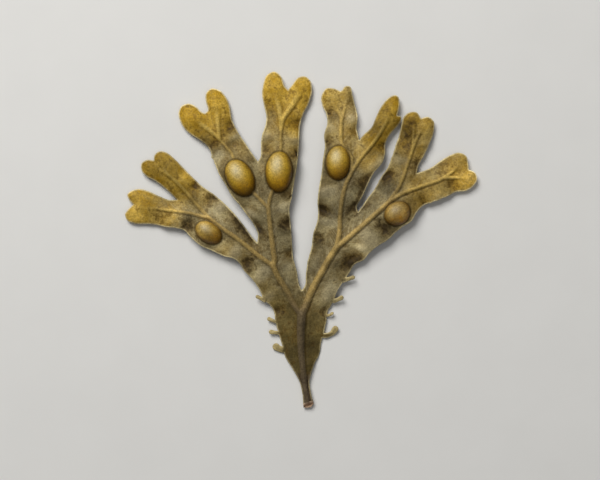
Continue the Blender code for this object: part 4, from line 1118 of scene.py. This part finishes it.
@dataclass
class Sheet:
    """The frond's sheet: one triangulated plan, its relief, and the pieces cut from it.

    Lengths are in millimetres. The fields that end in clear are shares of the spacing.
    """

    spacing: float = 0.29
    rim_rows: tuple[float, ...] = (0.05, 0.13, 0.26, 0.46)
    bladder_rows: tuple[float, ...] = (1.04, 1.0, 0.975, 0.94, 0.9, 0.85)
    bladder_crowding: float = 0.95
    field_border: float = 4.0
    field_clear: float = 0.6
    rim_clear: float = 0.3
    ring_clear: float = 0.5
    ring_rim_gap: float = 0.12
    merge: float = 0.004
    relief: Relief = field(default_factory=Relief)
    margin: Margin = field(default_factory=Margin)
    points: np.ndarray = field(default_factory=lambda: np.zeros((0, 2)))
    triangles: np.ndarray = field(default_factory=lambda: np.zeros((0, 3), dtype=int))
    owner: np.ndarray = field(default_factory=lambda: np.zeros(0, dtype=int))

    def rim_points(self) -> np.ndarray:
        """Return rows of points just inside the rim, where it rounds off.

        Returns:
            The points, one row each.
        """
        tree = tree_of(self.margin.fine)
        rows = []
        for loop in self.margin.coarse:
            along = np.roll(loop, -1, axis=0) - np.roll(loop, 1, axis=0)
            along /= np.linalg.norm(along, axis=1)[:, None]
            x, y = loop.T
            turn = np.sum(x * np.roll(y, -1) - y * np.roll(x, -1))
            inner = np.column_stack((-along[:, 1], along[:, 0])) * (1.0 if turn > 0.0 else -1.0)
            for offset in self.rim_rows:
                row = loop + inner * offset
                gap = gaps_to(tree, row)
                rows.append(row[np.abs(gap - offset) < 0.15 * offset + 0.01])
        return np.concatenate(rows)

    def bladder_points(self) -> np.ndarray:
        """Return rings of points round each bladder's steep side.

        Returns:
            The points, one row each.
        """
        rings = []
        for bladder in BLADDERS:
            long_way, short_way = bladder.axes()
            round_it = 2.0 * math.pi * bladder.half_length
            count = round(round_it / self.spacing * self.bladder_crowding)
            for row, share in enumerate(self.bladder_rows):
                turns = np.linspace(0.0, 2.0 * math.pi, count, endpoint=False)
                turns += math.pi / count * (row % 2)
                rings.append(np.array(bladder.centre) + share * (
                    bladder.half_length * np.cos(turns)[:, None] * long_way
                    + bladder.half_width * np.sin(turns)[:, None] * short_way))
        return np.concatenate(rings)

    def field_points(self, fixed: np.ndarray) -> np.ndarray:
        """Return evenly spread points that keep clear of the fixed ones.

        Args:
            fixed: The fixed points, one row each.

        Returns:
            The spread points, one row each.
        """
        low = self.margin.coarse[0].min(axis=0) - self.field_border
        high = self.margin.coarse[0].max(axis=0) + self.field_border
        spread = []
        for row, y in enumerate(np.arange(low[1], high[1], self.spacing * math.sqrt(3.0) / 2.0)):
            x = np.arange(low[0] + self.spacing / 2.0 * (row % 2), high[0], self.spacing)
            spread.append(np.column_stack((x, np.full(len(x), y))))
        spread = np.concatenate(spread)
        within = np.zeros(len(spread), dtype=bool)
        for loop in self.margin.coarse:
            within |= inside_loop(spread, loop)
        spread = spread[within]
        return spread[gaps_to(tree_of(fixed), spread) > self.field_clear * self.spacing]

    def triangulate(self) -> None:
        """Triangulate the plan and give each triangle to the piece that it belongs to."""
        self.margin.draw()
        loops = self.margin.coarse
        cuts = [smooth_curve(self.cut_ends(cut), self.spacing) for cut in CUTS]
        rings = self.bladder_points()
        rims = self.rim_points()
        cut_tree = tree_of(np.concatenate(cuts))
        rims = rims[gaps_to(cut_tree, rims) > self.rim_clear * self.spacing]
        rings = rings[gaps_to(cut_tree, rings) > self.ring_clear * self.spacing]
        rim_tree = tree_of(np.concatenate([self.margin.fine, rims]))
        rings = rings[gaps_to(rim_tree, rings) > self.ring_rim_gap]
        fixed = np.concatenate(loops + cuts + [rings, rims])
        spread = self.field_points(fixed)

        corners = []
        edges = []
        for line, closed in [(loop, True) for loop in loops] + [(cut, False) for cut in cuts]:
            first = len(corners)
            count = len(line)
            corners += [Vector((float(x), float(y))) for x, y in line]
            edges.append([(first + index, first + (index + 1) % count)
                          for index in range(count if closed else count - 1)])
        rim_edges = sum(len(group) for group in edges[:len(loops)])
        flat_edges = [edge for group in edges for edge in group]
        corners += [Vector((float(x), float(y))) for x, y in np.concatenate((rings, rims, spread))]
        found = delaunay_2d_cdt(corners, flat_edges, [], 1, self.merge)
        self.points = np.array([tuple(point) for point in found[0]])
        self.triangles = np.array([tuple(face) for face in found[2]])
        cut_edges = {frozenset(edge) for edge, origins in zip(found[1], found[4])
                     if any(origin >= rim_edges for origin in origins)}
        self.own(cut_edges)

    def cut_ends(self, cut: tuple[Point, Point]) -> list[tuple[float, float]]:
        """Return a cut's ends, moved the same way as the uneven margin is."""
        return [tuple(row) for row in self.margin.uneven(np.array(cut))]

    def own(self, cut_edges: set[frozenset]) -> None:
        """Give the triangles to the pieces, spreading from inside each up to the cuts.

        Args:
            cut_edges: The edges that lie on a cut.
        """
        sharing: dict[frozenset, list[int]] = {}
        for index, (a, b, c) in enumerate(self.triangles.tolist()):
            for edge in (frozenset((a, b)), frozenset((b, c)), frozenset((c, a))):
                sharing.setdefault(edge, []).append(index)
        neighbours: list[list[int]] = [[] for _ in self.triangles]
        for edge, users in sharing.items():
            if len(users) == 2 and edge not in cut_edges:
                neighbours[users[0]].append(users[1])
                neighbours[users[1]].append(users[0])
        self.owner = np.full(len(self.triangles), -1)
        centres = tree_of(self.points[self.triangles].mean(axis=1))
        for number, piece in enumerate(PIECES):
            ahead = [centres.find((*piece.inside, 0.0))[1]]
            self.owner[ahead[0]] = number
            while ahead:
                for index in neighbours[ahead.pop()]:
                    if self.owner[index] < 0:
                        self.owner[index] = number
                        ahead.append(index)

    def rim_vertices(self) -> np.ndarray:
        """Tell which points lie on the outer rim, where the two skins meet.

        Returns:
            True for each such point.
        """
        sides = np.concatenate([self.triangles[:, pair] for pair in ([0, 1], [1, 2], [2, 0])])
        keys = np.sort(sides, axis=1)
        _unique, first, counts = np.unique(keys, axis=0, return_index=True, return_counts=True)
        on_rim = np.zeros(len(self.points), dtype=bool)
        on_rim[keys[first[counts == 1]]] = True
        return on_rim


def skin_normals(places: np.ndarray, triangles: np.ndarray) -> np.ndarray:
    """Return the normals of a skin at its vertices.

    Args:
        places: The vertices, one row each.
        triangles: Their triangles.

    Returns:
        The summed, not yet unit, normals of the triangles round each vertex.
    """
    a, b, c = (places[triangles[:, side]] for side in range(3))
    facing = np.cross(b - a, c - a)
    normals = np.zeros_like(places)
    for side in range(3):
        np.add.at(normals, triangles[:, side], facing)
    return normals


@dataclass
class Shell:
    """The sheet's two skins, closed along the rim.

    Places are in millimetres about the middle of the plan, and normals are unit.
    """

    upper: np.ndarray
    lower: np.ndarray
    up_normals: np.ndarray
    down_normals: np.ndarray
    on_rim: np.ndarray
    masks: dict[str, np.ndarray]


@dataclass
class Frond:
    """The whole frond: cuts the sheet into pieces, and gives them their meshes and finishes."""

    sheet: Sheet = field(default_factory=Sheet)

    def build(self) -> list[bpy.types.Object]:
        """Build every piece of the frond.

        Returns:
            The pieces' objects.
        """
        self.sheet.triangulate()
        shell = self.close_shell()
        finish = TissueFinish()
        materials = {tissue: finish.material(tissue.value) for tissue in Tissue}
        made = []
        for number, piece in enumerate(PIECES):
            triangles = self.sheet.triangles[self.sheet.owner == number]
            skin = self.build_piece(piece, triangles, shell)
            skin.data.materials.append(materials[piece.tissue])
            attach(skin, "root")
            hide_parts(piece.name)
            made.append(skin)
        return made

    def close_shell(self) -> Shell:
        """Close the sheet's two skins, which share places and normals along the rim.

        Returns:
            The two skins.
        """
        sheet = self.sheet
        skin = sheet.relief.measure(sheet.points, sheet.margin)
        on_rim = sheet.rim_vertices()
        plan = sheet.points - (sheet.points.min(axis=0) + sheet.points.max(axis=0)) / 2.0
        upper = np.column_stack((plan, np.where(on_rim, skin.middle, skin.upper)))
        lower = np.column_stack((plan, np.where(on_rim, skin.middle, skin.lower)))
        up_normals = skin_normals(upper, sheet.triangles)
        down_normals = skin_normals(lower, sheet.triangles[:, ::-1])
        both = up_normals + down_normals
        for normals in (up_normals, down_normals):
            normals[on_rim] = both[on_rim]
            normals /= np.maximum(np.linalg.norm(normals, axis=1), 1e-12)[:, None]
        return Shell(upper, lower, up_normals, down_normals, on_rim, skin.masks)

    def build_piece(self, piece: FrondPiece, triangles: np.ndarray,
                    shell: Shell) -> bpy.types.Object:
        """Build one closed piece.

        Args:
            piece: The piece.
            triangles: Its triangles of the sheet.
            shell: The whole sheet's two skins.

        Returns:
            The piece's object.
        """
        used = np.unique(triangles)
        split = used[~shell.on_rim[used]]
        above = np.full(len(shell.on_rim), -1)
        above[used] = np.arange(len(used))
        below = above.copy()
        below[split] = len(used) + np.arange(len(split))
        under = triangles[:, ::-1]
        faces = above[triangles].tolist() + below[under].tolist()
        normals = [shell.up_normals[triangles].reshape(-1, 3),
                   shell.down_normals[under].reshape(-1, 3)]
        for a, b in self.cut_sides(triangles, shell.on_rim):
            wall = list(dict.fromkeys((int(below[a]), int(below[b]), int(above[b]), int(above[a]))))
            way = shell.upper[b] - shell.upper[a]
            out = np.array((way[1], -way[0], 0.0))
            faces.append(wall)
            normals.append(np.tile(out / np.linalg.norm(out), (len(wall), 1)))
        mesh = bpy.data.meshes.new(piece.name + "_skin")
        corners = np.concatenate((shell.upper[used], shell.lower[split])) * MM
        mesh.from_pydata(corners.tolist(), [], faces)
        for name, values in shell.masks.items():
            layer = mesh.attributes.new(name, "FLOAT", "POINT")
            layer.data.foreach_set("value", np.concatenate((values[used], values[split])))
        mesh.shade_smooth()
        mesh.normals_split_custom_set(np.concatenate(normals).tolist())
        skin = bpy.data.objects.new(piece.name + "_skin", mesh)
        bpy.context.scene.collection.objects.link(skin)
        return skin

    def cut_sides(self, triangles: np.ndarray, on_rim: np.ndarray) -> list[tuple[int, int]]:
        """Find where a piece is cut from its neighbours.

        Args:
            triangles: The piece's triangles.
            on_rim: Which sheet points lie on the outer rim.

        Returns:
            The sides of triangles that only one triangle has and that aren't on the rim.
        """
        sides = {(a, b) for tri in triangles.tolist()
                 for a, b in ((tri[0], tri[1]), (tri[1], tri[2]), (tri[2], tri[0]))}
        return [(a, b) for a, b in sorted(sides)
                if (b, a) not in sides and not (on_rim[a] and on_rim[b])]


class NodeSketch:
    """Short ways to add and join shader nodes."""

    def __init__(self, name: str) -> None:
        """Start a material with an empty Principled surface.

        Args:
            name: The material's name.
        """
        self.material = bpy.data.materials.new(name)
        self.material.use_nodes = True
        self.tree = self.material.node_tree
        self.surface = self.tree.nodes["Principled BSDF"]
        self.coordinates = self.tree.nodes.new("ShaderNodeTexCoord").outputs["Object"]

    def plug(self, socket: bpy.types.NodeSocket, value: object) -> None:
        """Link a socket to another one, or set its value.

        Args:
            socket: The socket to feed.
            value: Another socket, a colour or a number.
        """
        if isinstance(value, bpy.types.NodeSocket):
            self.tree.links.new(value, socket)
        elif isinstance(value, tuple):
            socket.default_value = (*value, 1.0)
        else:
            socket.default_value = value

    def mask(self, name: str) -> bpy.types.NodeSocket:
        """Return a mask that the mesh carries.

        Args:
            name: The mask's name.

        Returns:
            The mask's socket.
        """
        node = self.tree.nodes.new("ShaderNodeAttribute")
        node.attribute_name = name
        return node.outputs["Fac"]

    def math_of(self, way: str, first: object, second: object) -> bpy.types.NodeSocket:
        """Return the result of a Math node.

        Args:
            way: The Math node's operation, with " CLAMP" after it to keep it from 0 to 1.
            first: The first value or socket.
            second: The second value or socket.

        Returns:
            The result's socket.
        """
        node = self.tree.nodes.new("ShaderNodeMath")
        node.operation = way.split(" ")[0]
        node.use_clamp = way.endswith("CLAMP")
        self.plug(node.inputs[0], first)
        self.plug(node.inputs[1], second)
        return node.outputs[0]

    def product(self, first: object, second: object) -> bpy.types.NodeSocket:
        """Return the product of two values or sockets."""
        return self.math_of("MULTIPLY", first, second)

    def total(self, first: object, second: object) -> bpy.types.NodeSocket:
        """Return the sum of two values or sockets."""
        return self.math_of("ADD", first, second)

    def scaled(self, colour: bpy.types.NodeSocket, factor: object) -> bpy.types.NodeSocket:
        """Return a colour made lighter or darker.

        Args:
            colour: The colour's socket.
            factor: What it is multiplied by.

        Returns:
            The new colour's socket.
        """
        node = self.tree.nodes.new("ShaderNodeVectorMath")
        node.operation = "SCALE"
        self.plug(node.inputs[0], colour)
        self.plug(node.inputs["Scale"], factor)
        return node.outputs[0]

    def band(self, value: object, low: float, high: float, start: float = 0.0,
             end: float = 1.0) -> bpy.types.NodeSocket:
        """Return a value mapped smoothly from one range to another.

        Args:
            value: The value or socket.
            low: Where the result is start.
            high: Where the result is end.
            start: The result at low and past it.
            end: The result at high and past it.

        Returns:
            The result's socket.
        """
        node = self.tree.nodes.new("ShaderNodeMapRange")
        node.interpolation_type = "SMOOTHSTEP"
        for socket, number in zip(node.inputs[:5], (value, low, high, start, end)):
            self.plug(socket, number)
        return node.outputs[0]

    def noise(self, place: bpy.types.NodeSocket, size: float, detail: float,
              roughness: float = 0.5) -> bpy.types.NodeSocket:
        """Return smooth noise from 0 to 1.

        Args:
            place: Where the noise is read.
            size: Size of its features, in the place's unit.
            detail: Number of finer layers.
            roughness: How strong the finer layers are.

        Returns:
            The noise's socket.
        """
        node = self.tree.nodes.new("ShaderNodeTexNoise")
        self.plug(node.inputs["Vector"], place)
        node.inputs["Scale"].default_value = 1.0 / size
        node.inputs["Detail"].default_value = detail
        node.inputs["Roughness"].default_value = roughness
        return node.outputs["Fac"]

    def speckle(self, size: float, detail: float, roughness: float = 0.55) -> bpy.types.NodeSocket:
        """Return noise all over the object, its features of a size in metres."""
        return self.noise(self.coordinates, size, detail, roughness)

    def streaks(self, across: float, along: float) -> bpy.types.NodeSocket:
        """Return noise drawn out along the veins beside the nearest midrib.

        Args:
            across: Size of a streak across the vein, in millimetres.
            along: Size of a streak along the vein, in millimetres.

        Returns:
            The noise's socket.
        """
        place = self.tree.nodes.new("ShaderNodeCombineXYZ")
        self.plug(place.inputs[0], self.product(self.mask("course"), 1.0 / across))
        self.plug(place.inputs[1], self.product(self.mask("aside"), 1.0 / along))
        return self.noise(place.outputs[0], 1.0, 2.0)

    def cells(self, size: float) -> bpy.types.NodeSocket:
        """Return the distance from scattered centres.

        Args:
            size: Size of a cell in metres.

        Returns:
            The socket, 0 at each centre.
        """
        node = self.tree.nodes.new("ShaderNodeTexVoronoi")
        self.plug(node.inputs["Vector"], self.coordinates)
        node.inputs["Scale"].default_value = 1.0 / size
        return node.outputs["Distance"]

    def blend(self, share: object, first: object, second: object) -> bpy.types.NodeSocket:
        """Return a colour between two others.

        Args:
            share: The share of the second colour.
            first: The first colour.
            second: The second colour.

        Returns:
            The colour's socket.
        """
        node = self.tree.nodes.new("ShaderNodeMix")
        node.data_type = "RGBA"
        self.plug(node.inputs[0], share)
        self.plug(node.inputs[6], first)
        self.plug(node.inputs[7], second)
        return node.outputs[2]

    def bump(self, height: object, depth: float, strength: float,
             below: object = None) -> bpy.types.NodeSocket:
        """Return a bumped normal.

        Args:
            height: The height, from 0 to 1.
            depth: How deep 1 is, in metres.
            strength: How strong the bump is.
            below: The normal that this one is laid over, if any.

        Returns:
            The normal's socket.
        """
        node = self.tree.nodes.new("ShaderNodeBump")
        node.inputs["Distance"].default_value = depth
        node.inputs["Strength"].default_value = strength
        self.plug(node.inputs["Height"], height)
        if below is not None:
            self.plug(node.inputs["Normal"], below)
        return node.outputs[0]


def from_screen(red: int, green: int, blue: int) -> Colour:
    """Return a screen colour as linear light.

    Args:
        red: Red from 0 to 255.
        green: Green from 0 to 255.
        blue: Blue from 0 to 255.

    Returns:
        The colour, each part from 0 to 1.
    """
    linear = [value / 255.0 / 12.92 if value <= 10 else ((value / 255.0 + 0.055) / 1.055) ** 2.4
              for value in (red, green, blue)]
    return (linear[0], linear[1], linear[2])


@dataclass(frozen=True)
class TissueFinish:
    """Wet-fresh seaweed tissue: its colours, some of them painted highlight and painted shade, and
    the sizes of its speckles in metres.
    """

    pale_blade: Colour = from_screen(138, 125, 88)
    dark_blade: Colour = from_screen(96, 82, 50)
    olive: Colour = from_screen(110, 95, 54)
    dark_olive: Colour = from_screen(78, 65, 32)
    low_olive: Colour = from_screen(76, 64, 32)
    stalk: Colour = from_screen(100, 86, 72)
    dark_stalk: Colour = from_screen(56, 45, 36)
    # Painted shade in the folds' hollows, partly darker tissue
    shaded: Colour = from_screen(82, 62, 22)
    gold_shaded: Colour = from_screen(124, 92, 10)
    hollow_shade: Colour = from_screen(44, 31, 7)
    gold_hollow_shade: Colour = from_screen(78, 52, 2)
    # Painted highlight on the fold crests, also the colour of the pale veins
    crest: Colour = from_screen(170, 158, 124)
    rib: Colour = from_screen(146, 122, 70)
    gold_rib: Colour = from_screen(188, 158, 76)
    base_rib: Colour = from_screen(88, 75, 55)
    # Painted shade in the grooves beside the midribs and in the creases round the bladders
    groove_and_shade: Colour = from_screen(60, 44, 12)
    gold: Colour = from_screen(183, 150, 62)
    deep_gold: Colour = from_screen(146, 113, 27)
    # A painted highlight on the bladders
    float_highlight: Colour = from_screen(188, 168, 112)
    float_gold: Colour = from_screen(178, 143, 38)
    # Painted shade on the bladders' side away from the light, also the colour of their dark dots
    float_shade_and_dots: Colour = from_screen(138, 100, 2)
    # Painted shade round the bladders' edges
    float_edge_shade: Colour = from_screen(94, 62, 1)
    float_brown: Colour = from_screen(146, 122, 72)
    # Rust on the brown bladders, laid on their side away from the light: partly rust, partly
    # painted shade
    float_rust_and_shade: Colour = from_screen(118, 82, 30)
    # The pale rim, partly paler margin and partly a painted highlight
    rim: Colour = from_screen(206, 190, 142)
    cream: Colour = from_screen(172, 154, 106)
    cut: Colour = from_screen(200, 170, 140)
    pith: Colour = from_screen(112, 76, 58)
    cloud_size: float = 0.0055
    smudge_size: float = 0.0024
    mottle_size: float = 0.0011
    fine_size: float = 0.0005
    dot_size: float = 0.0007
    smudge_depth: float = 0.0004
    mottle_depth: float = 0.00018
    fine_depth: float = 0.00007

    def material(self, name: str) -> bpy.types.Material:
        """Make the material.

        Args:
            name: The material's name, that of its slot.

        Returns:
            The material.
        """
        painter = TissuePainter(self, name)
        painter.paint_veins()
        painter.paint_base()
        painter.paint_gold()
        painter.paint_folds()
        painter.paint_midribs()
        painter.paint_bladders()
        painter.paint_edges()
        painter.paint_tones_and_shade()
        painter.set_surface()
        return painter.sketch.material


class TissuePainter:
    """Paints the tissue's material in layers, each over the ones before it."""

    def __init__(self, finish: TissueFinish, name: str) -> None:
        """Start the material with its noises and the blade's mottled colour.

        Args:
            finish: The tissue's colours and sizes.
            name: The material's name.
        """
        sketch = NodeSketch(name)
        self.finish = finish
        self.sketch = sketch
        self.cloud = sketch.speckle(finish.cloud_size, 2.0)
        self.smudge = sketch.speckle(finish.smudge_size, 3.0)
        self.mottle = sketch.speckle(finish.mottle_size, 4.0, 0.65)
        self.fine = sketch.speckle(finish.fine_size, 3.0, 0.75)
        coarse = sketch.total(sketch.product(self.cloud, 0.4), sketch.product(self.smudge, 0.35))
        self.mixed = sketch.total(coarse, sketch.product(self.mottle, 0.25))
        self.patches = sketch.band(self.mixed, 0.4, 0.6)
        self.gold = sketch.mask("gold")
        self.colour = sketch.blend(self.patches, finish.pale_blade, finish.dark_blade)

    def cover(self, share: object, colour: object) -> None:
        """Lay a colour over those painted so far, by a share from 0 to 1."""
        self.colour = self.sketch.blend(share, self.colour, colour)

    def paint_veins(self) -> None:
        """Paint the faint pale veins beside the midribs."""
        sketch = self.sketch
        streaks = sketch.band(sketch.streaks(0.5, 5.0), 0.45, 0.7, 0.0, 0.35)
        beside = sketch.band(sketch.mask("aside"), 4.0, 1.0)
        self.cover(sketch.product(streaks, beside), self.finish.crest)

    def paint_base(self) -> None:
        """Paint the olive basal blade and the brown streaked stalk."""
        sketch, finish = self.sketch, self.finish
        olive = sketch.blend(self.patches, finish.olive, finish.dark_olive)
        self.cover(sketch.mask("base"), olive)
        self.cover(sketch.mask("low"), finish.low_olive)
        streaks = sketch.band(sketch.streaks(4.0, 0.25), 0.35, 0.65)
        stalk = sketch.blend(streaks, finish.stalk, finish.dark_stalk)
        self.cover(sketch.band(sketch.mask("stalk"), 0.2, 1.0), stalk)

    def paint_gold(self) -> None:
        """Paint the golden ripeness of the tips."""
        sketch, finish = self.sketch, self.finish
        depth = sketch.band(self.mixed, 0.38, 0.62)
        uneven = sketch.band(self.smudge, 0.2, 0.6, 0.8, 1.1)
        ripeness = sketch.math_of("MULTIPLY CLAMP", self.gold, uneven)
        self.cover(ripeness, sketch.blend(depth, finish.gold, finish.deep_gold))

    def paint_folds(self) -> None:
        """Paint a highlight on the fold crests, and shade, partly dark tissue, in their ragged
        hollows.
        """
        sketch, finish = self.sketch, self.finish
        fold = sketch.mask("fold")
        # A painted highlight on the fold crests
        high = sketch.band(fold, 0.15, 0.8, 0.0, 0.4)
        plain = sketch.band(self.gold, 0.6, 0.1)
        self.cover(sketch.product(high, plain), finish.crest)
        ragged = sketch.total(fold, sketch.band(self.mottle, 0.3, 0.7, -0.3, 0.3))
        ragged = sketch.total(ragged, sketch.band(self.smudge, 0.3, 0.7, -0.4, 0.4))
        # Painted shade in the folds' hollows, partly darker tissue
        shaded = sketch.blend(self.gold, finish.shaded, finish.gold_shaded)
        self.cover(sketch.band(ragged, 0.0, -0.5, 0.0, 0.6), shaded)
        hollow_shade = sketch.blend(self.gold, finish.hollow_shade, finish.gold_hollow_shade)
        self.cover(sketch.band(ragged, -0.3, -1.15, 0.0, 0.82), hollow_shade)

    def paint_midribs(self) -> None:
        """Paint the midribs, and painted shade in the grooves beside them, deeper away from the
        light.
        """
        sketch, finish = self.sketch, self.finish
        rib = sketch.blend(self.gold, finish.rib, finish.gold_rib)
        rib = sketch.blend(sketch.mask("base"), rib, finish.base_rib)
        self.cover(sketch.band(sketch.mask("ridge"), 0.03, 0.35, 0.0, 0.85), rib)
        # Painted shade in the grooves
        groove_and_shade = sketch.blend(self.gold, finish.groove_and_shade, finish.gold_hollow_shade)
        depth = sketch.band(self.gold, 0.3, 0.9, 0.75, 0.4)
        self.cover(sketch.product(sketch.mask("groove_and_shade"), depth), groove_and_shade)

    def paint_bladders(self) -> None:
        """Paint the bladders, golden or rusty, with a painted highlight and painted shade away from
        the light.
        """
        sketch, finish = self.sketch, self.finish
        tone = sketch.mask("tone")
        shade_side = sketch.total(sketch.mask("shade_side"), sketch.band(self.mottle, 0.2, 0.8, -0.2, 0.2))
        # Painted shade: deeper gold on the side away from the light
        gold = sketch.blend(sketch.band(shade_side, -0.3, 1.0), finish.float_gold, finish.float_shade_and_dots)
        # A painted highlight, toward the light
        gold = sketch.blend(sketch.band(sketch.mask("crown"), 0.0, 1.0), gold, finish.float_highlight)
        # Rust laid on the side away from the light: partly rust, partly painted shade
        rust_and_shade = sketch.product(sketch.band(shade_side, -0.5, 0.6),
                              sketch.band(self.smudge, 0.4, 0.6, 0.4, 1.0))
        brown = sketch.blend(rust_and_shade, finish.float_brown, finish.float_rust_and_shade)
        skin = sketch.blend(tone, brown, gold)
        dots = sketch.product(sketch.band(sketch.cells(finish.dot_size), 0.5, 0.2),
                              sketch.band(shade_side, 0.1, 0.8))
        dots = sketch.product(dots, sketch.band(tone, 0.9, 0.6))
        skin = sketch.blend(dots, skin, finish.float_shade_and_dots)
        # Painted shade round the edge, strongest away from the light
        edge = sketch.product(sketch.band(sketch.mask("outer"), 0.3, 1.0, 0.0, 0.85),
                              sketch.band(sketch.mask("shade_side"), -1.2, -0.3, 0.35, 1.0))
        skin = sketch.blend(edge, skin, finish.float_edge_shade)
        self.cover(sketch.mask("bladder"), skin)
        # Painted shade in the crease round the bladder
        self.cover(sketch.product(sketch.mask("crease"), 0.7), finish.groove_and_shade)

    def paint_edges(self) -> None:
        """Paint the pale rim, partly a painted highlight, the cream leaflets and the cut end with
        its pith.
        """
        sketch, finish = self.sketch, self.finish
        inward = sketch.mask("inward")
        # The pale rim: partly paler margin, partly a painted highlight
        rim = sketch.product(sketch.band(inward, 0.5, 0.14),
                             sketch.band(self.cloud, 0.35, 0.6, 0.55, 0.9))
        rim = sketch.product(rim, sketch.band(self.gold, 0.0, 0.5, 0.8, 1.1))
        faint = sketch.band(sketch.mask("low"), 0.0, 1.0, 1.0, 0.6)
        self.cover(sketch.math_of("MULTIPLY CLAMP", rim, faint), finish.rim)
        cream = sketch.mask("cream")
        self.cover(cream, finish.cream)
        self.cover(sketch.product(cream, sketch.band(inward, 0.35, 0.75, 0.0, 0.4)), finish.olive)
        self.cover(sketch.mask("cut"), finish.cut)
        self.cover(sketch.product(sketch.mask("pith"), 0.7), finish.pith)

    def paint_tones_and_shade(self) -> None:
        """Lighten and darken the colours by place, partly painted light and shade, and grain by
        grain.
        """
        sketch = self.sketch
        grains = sketch.product(sketch.band(self.fine, 0.3, 0.7, 0.7, 1.2),
                                sketch.band(self.mottle, 0.35, 0.65, 0.85, 1.12))
        shade = sketch.total(sketch.mask("shade"), 1.0)
        self.colour = sketch.scaled(self.colour, sketch.product(grains, shade))

    def set_surface(self) -> None:
        """Set the colour, the satin gloss, higher on the bladders, and the fine bumps."""
        sketch, finish = self.sketch, self.finish
        bladder = sketch.mask("bladder")
        inputs = sketch.surface.inputs
        sketch.plug(inputs["Base Color"], self.colour)
        sketch.plug(inputs["Specular IOR Level"], sketch.band(bladder, 0.0, 1.0, 0.1, 0.26))
        wet = sketch.band(self.mottle, 0.3, 0.7, 0.5, 0.66)
        sketch.plug(inputs["Roughness"], sketch.total(wet, sketch.product(bladder, -0.16)))
        broad = sketch.bump(self.smudge, finish.smudge_depth, 0.35)
        middling = sketch.bump(self.mottle, finish.mottle_depth, 0.5, broad)
        sketch.plug(inputs["Normal"], sketch.bump(self.fine, finish.fine_depth, 0.6, middling))


@dataclass(frozen=True)
class FloorFinish:
    """A plain pale table top with a faint unevenness."""

    light: Colour = from_screen(216, 214, 209)
    dark: Colour = from_screen(210, 208, 203)
    cloud_size: float = 0.02
    roughness: float = 0.7

    def material(self) -> bpy.types.Material:
        """Make the material.

        Returns:
            The material.
        """
        sketch = NodeSketch("table_top")
        colour = sketch.blend(sketch.speckle(self.cloud_size, 3.0), self.light, self.dark)
        sketch.plug(sketch.surface.inputs["Base Color"], colour)
        sketch.surface.inputs["Roughness"].default_value = self.roughness
        return sketch.material


@dataclass
class Studio:
    """The table, the lights and the camera, in metres."""

    floor_half: float = 1.5
    floor_drop: float = 0.00005
    camera_height: float = 0.4263
    camera_shift: tuple[float, float] = (-0.0003, -0.0001)
    lens: float = 85.0
    key_place: tuple[float, float, float] = (-0.32, 0.6, 0.715)
    key_size: float = 0.54
    key_power: float = 10.4
    fill_place: tuple[float, float, float] = (0.25, -0.2, 0.7)
    fill_size: float = 0.6
    fill_power: float = 0.6
    sky: float = 0.16
    sky_colour: Colour = (0.93, 0.96, 1.0)

    def build(self) -> None:
        """Build the studio."""
        self.build_floor()
        self.build_light("key_light", self.key_place, self.key_size, self.key_power)
        self.build_light("fill_light", self.fill_place, self.fill_size, self.fill_power)
        self.build_sky()
        self.build_camera()
        bpy.context.scene.view_settings.view_transform = "Standard"

    def build_floor(self) -> None:
        """Build the pale table top."""
        half = self.floor_half
        mesh = bpy.data.meshes.new("table_top")
        mesh.from_pydata([(-half, -half, 0.0), (half, -half, 0.0), (half, half, 0.0),
                          (-half, half, 0.0)], [], [(0, 1, 2, 3)])
        mesh.materials.append(FloorFinish().material())
        floor = bpy.data.objects.new("table_top", mesh)
        floor.location.z = -self.floor_drop
        bpy.context.scene.collection.objects.link(floor)

    def build_light(self, name: str, place: tuple[float, float, float], size: float,
                    power: float) -> None:
        """Build one soft light that faces the frond.

        Args:
            name: The light's name.
            place: Where it stands.
            size: The side of its square.
            power: Its power in watts.
        """
        data = bpy.data.lights.new(name, "AREA")
        data.size = size
        data.energy = power
        light = bpy.data.objects.new(name, data)
        light.location = place
        light.rotation_euler = (-Vector(place)).to_track_quat("-Z", "Y").to_euler()
        bpy.context.scene.collection.objects.link(light)

    def build_sky(self) -> None:
        """Build the soft light from all round."""
        world = bpy.data.worlds.new("studio")
        world.use_nodes = True
        background = world.node_tree.nodes["Background"]
        background.inputs["Color"].default_value = (*self.sky_colour, 1.0)
        background.inputs["Strength"].default_value = self.sky
        bpy.context.scene.world = world

    def build_camera(self) -> None:
        """Build the camera, straight above the frond."""
        data = bpy.data.cameras.new("camera")
        data.lens = self.lens
        camera = bpy.data.objects.new("camera", data)
        camera.location = (*self.camera_shift, self.camera_height)
        bpy.context.scene.collection.objects.link(camera)
        bpy.context.scene.camera = camera


def main() -> None:
    """Build the studio and the frond, and report each piece."""
    logging.basicConfig(level=logging.INFO, format="%(name)s: %(message)s")
    Studio().build()
    for piece in Frond().build():
        LOG.info("%s: %d faces", piece.name, len(piece.data.polygons))
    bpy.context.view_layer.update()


if __name__ == "__main__":
    main()
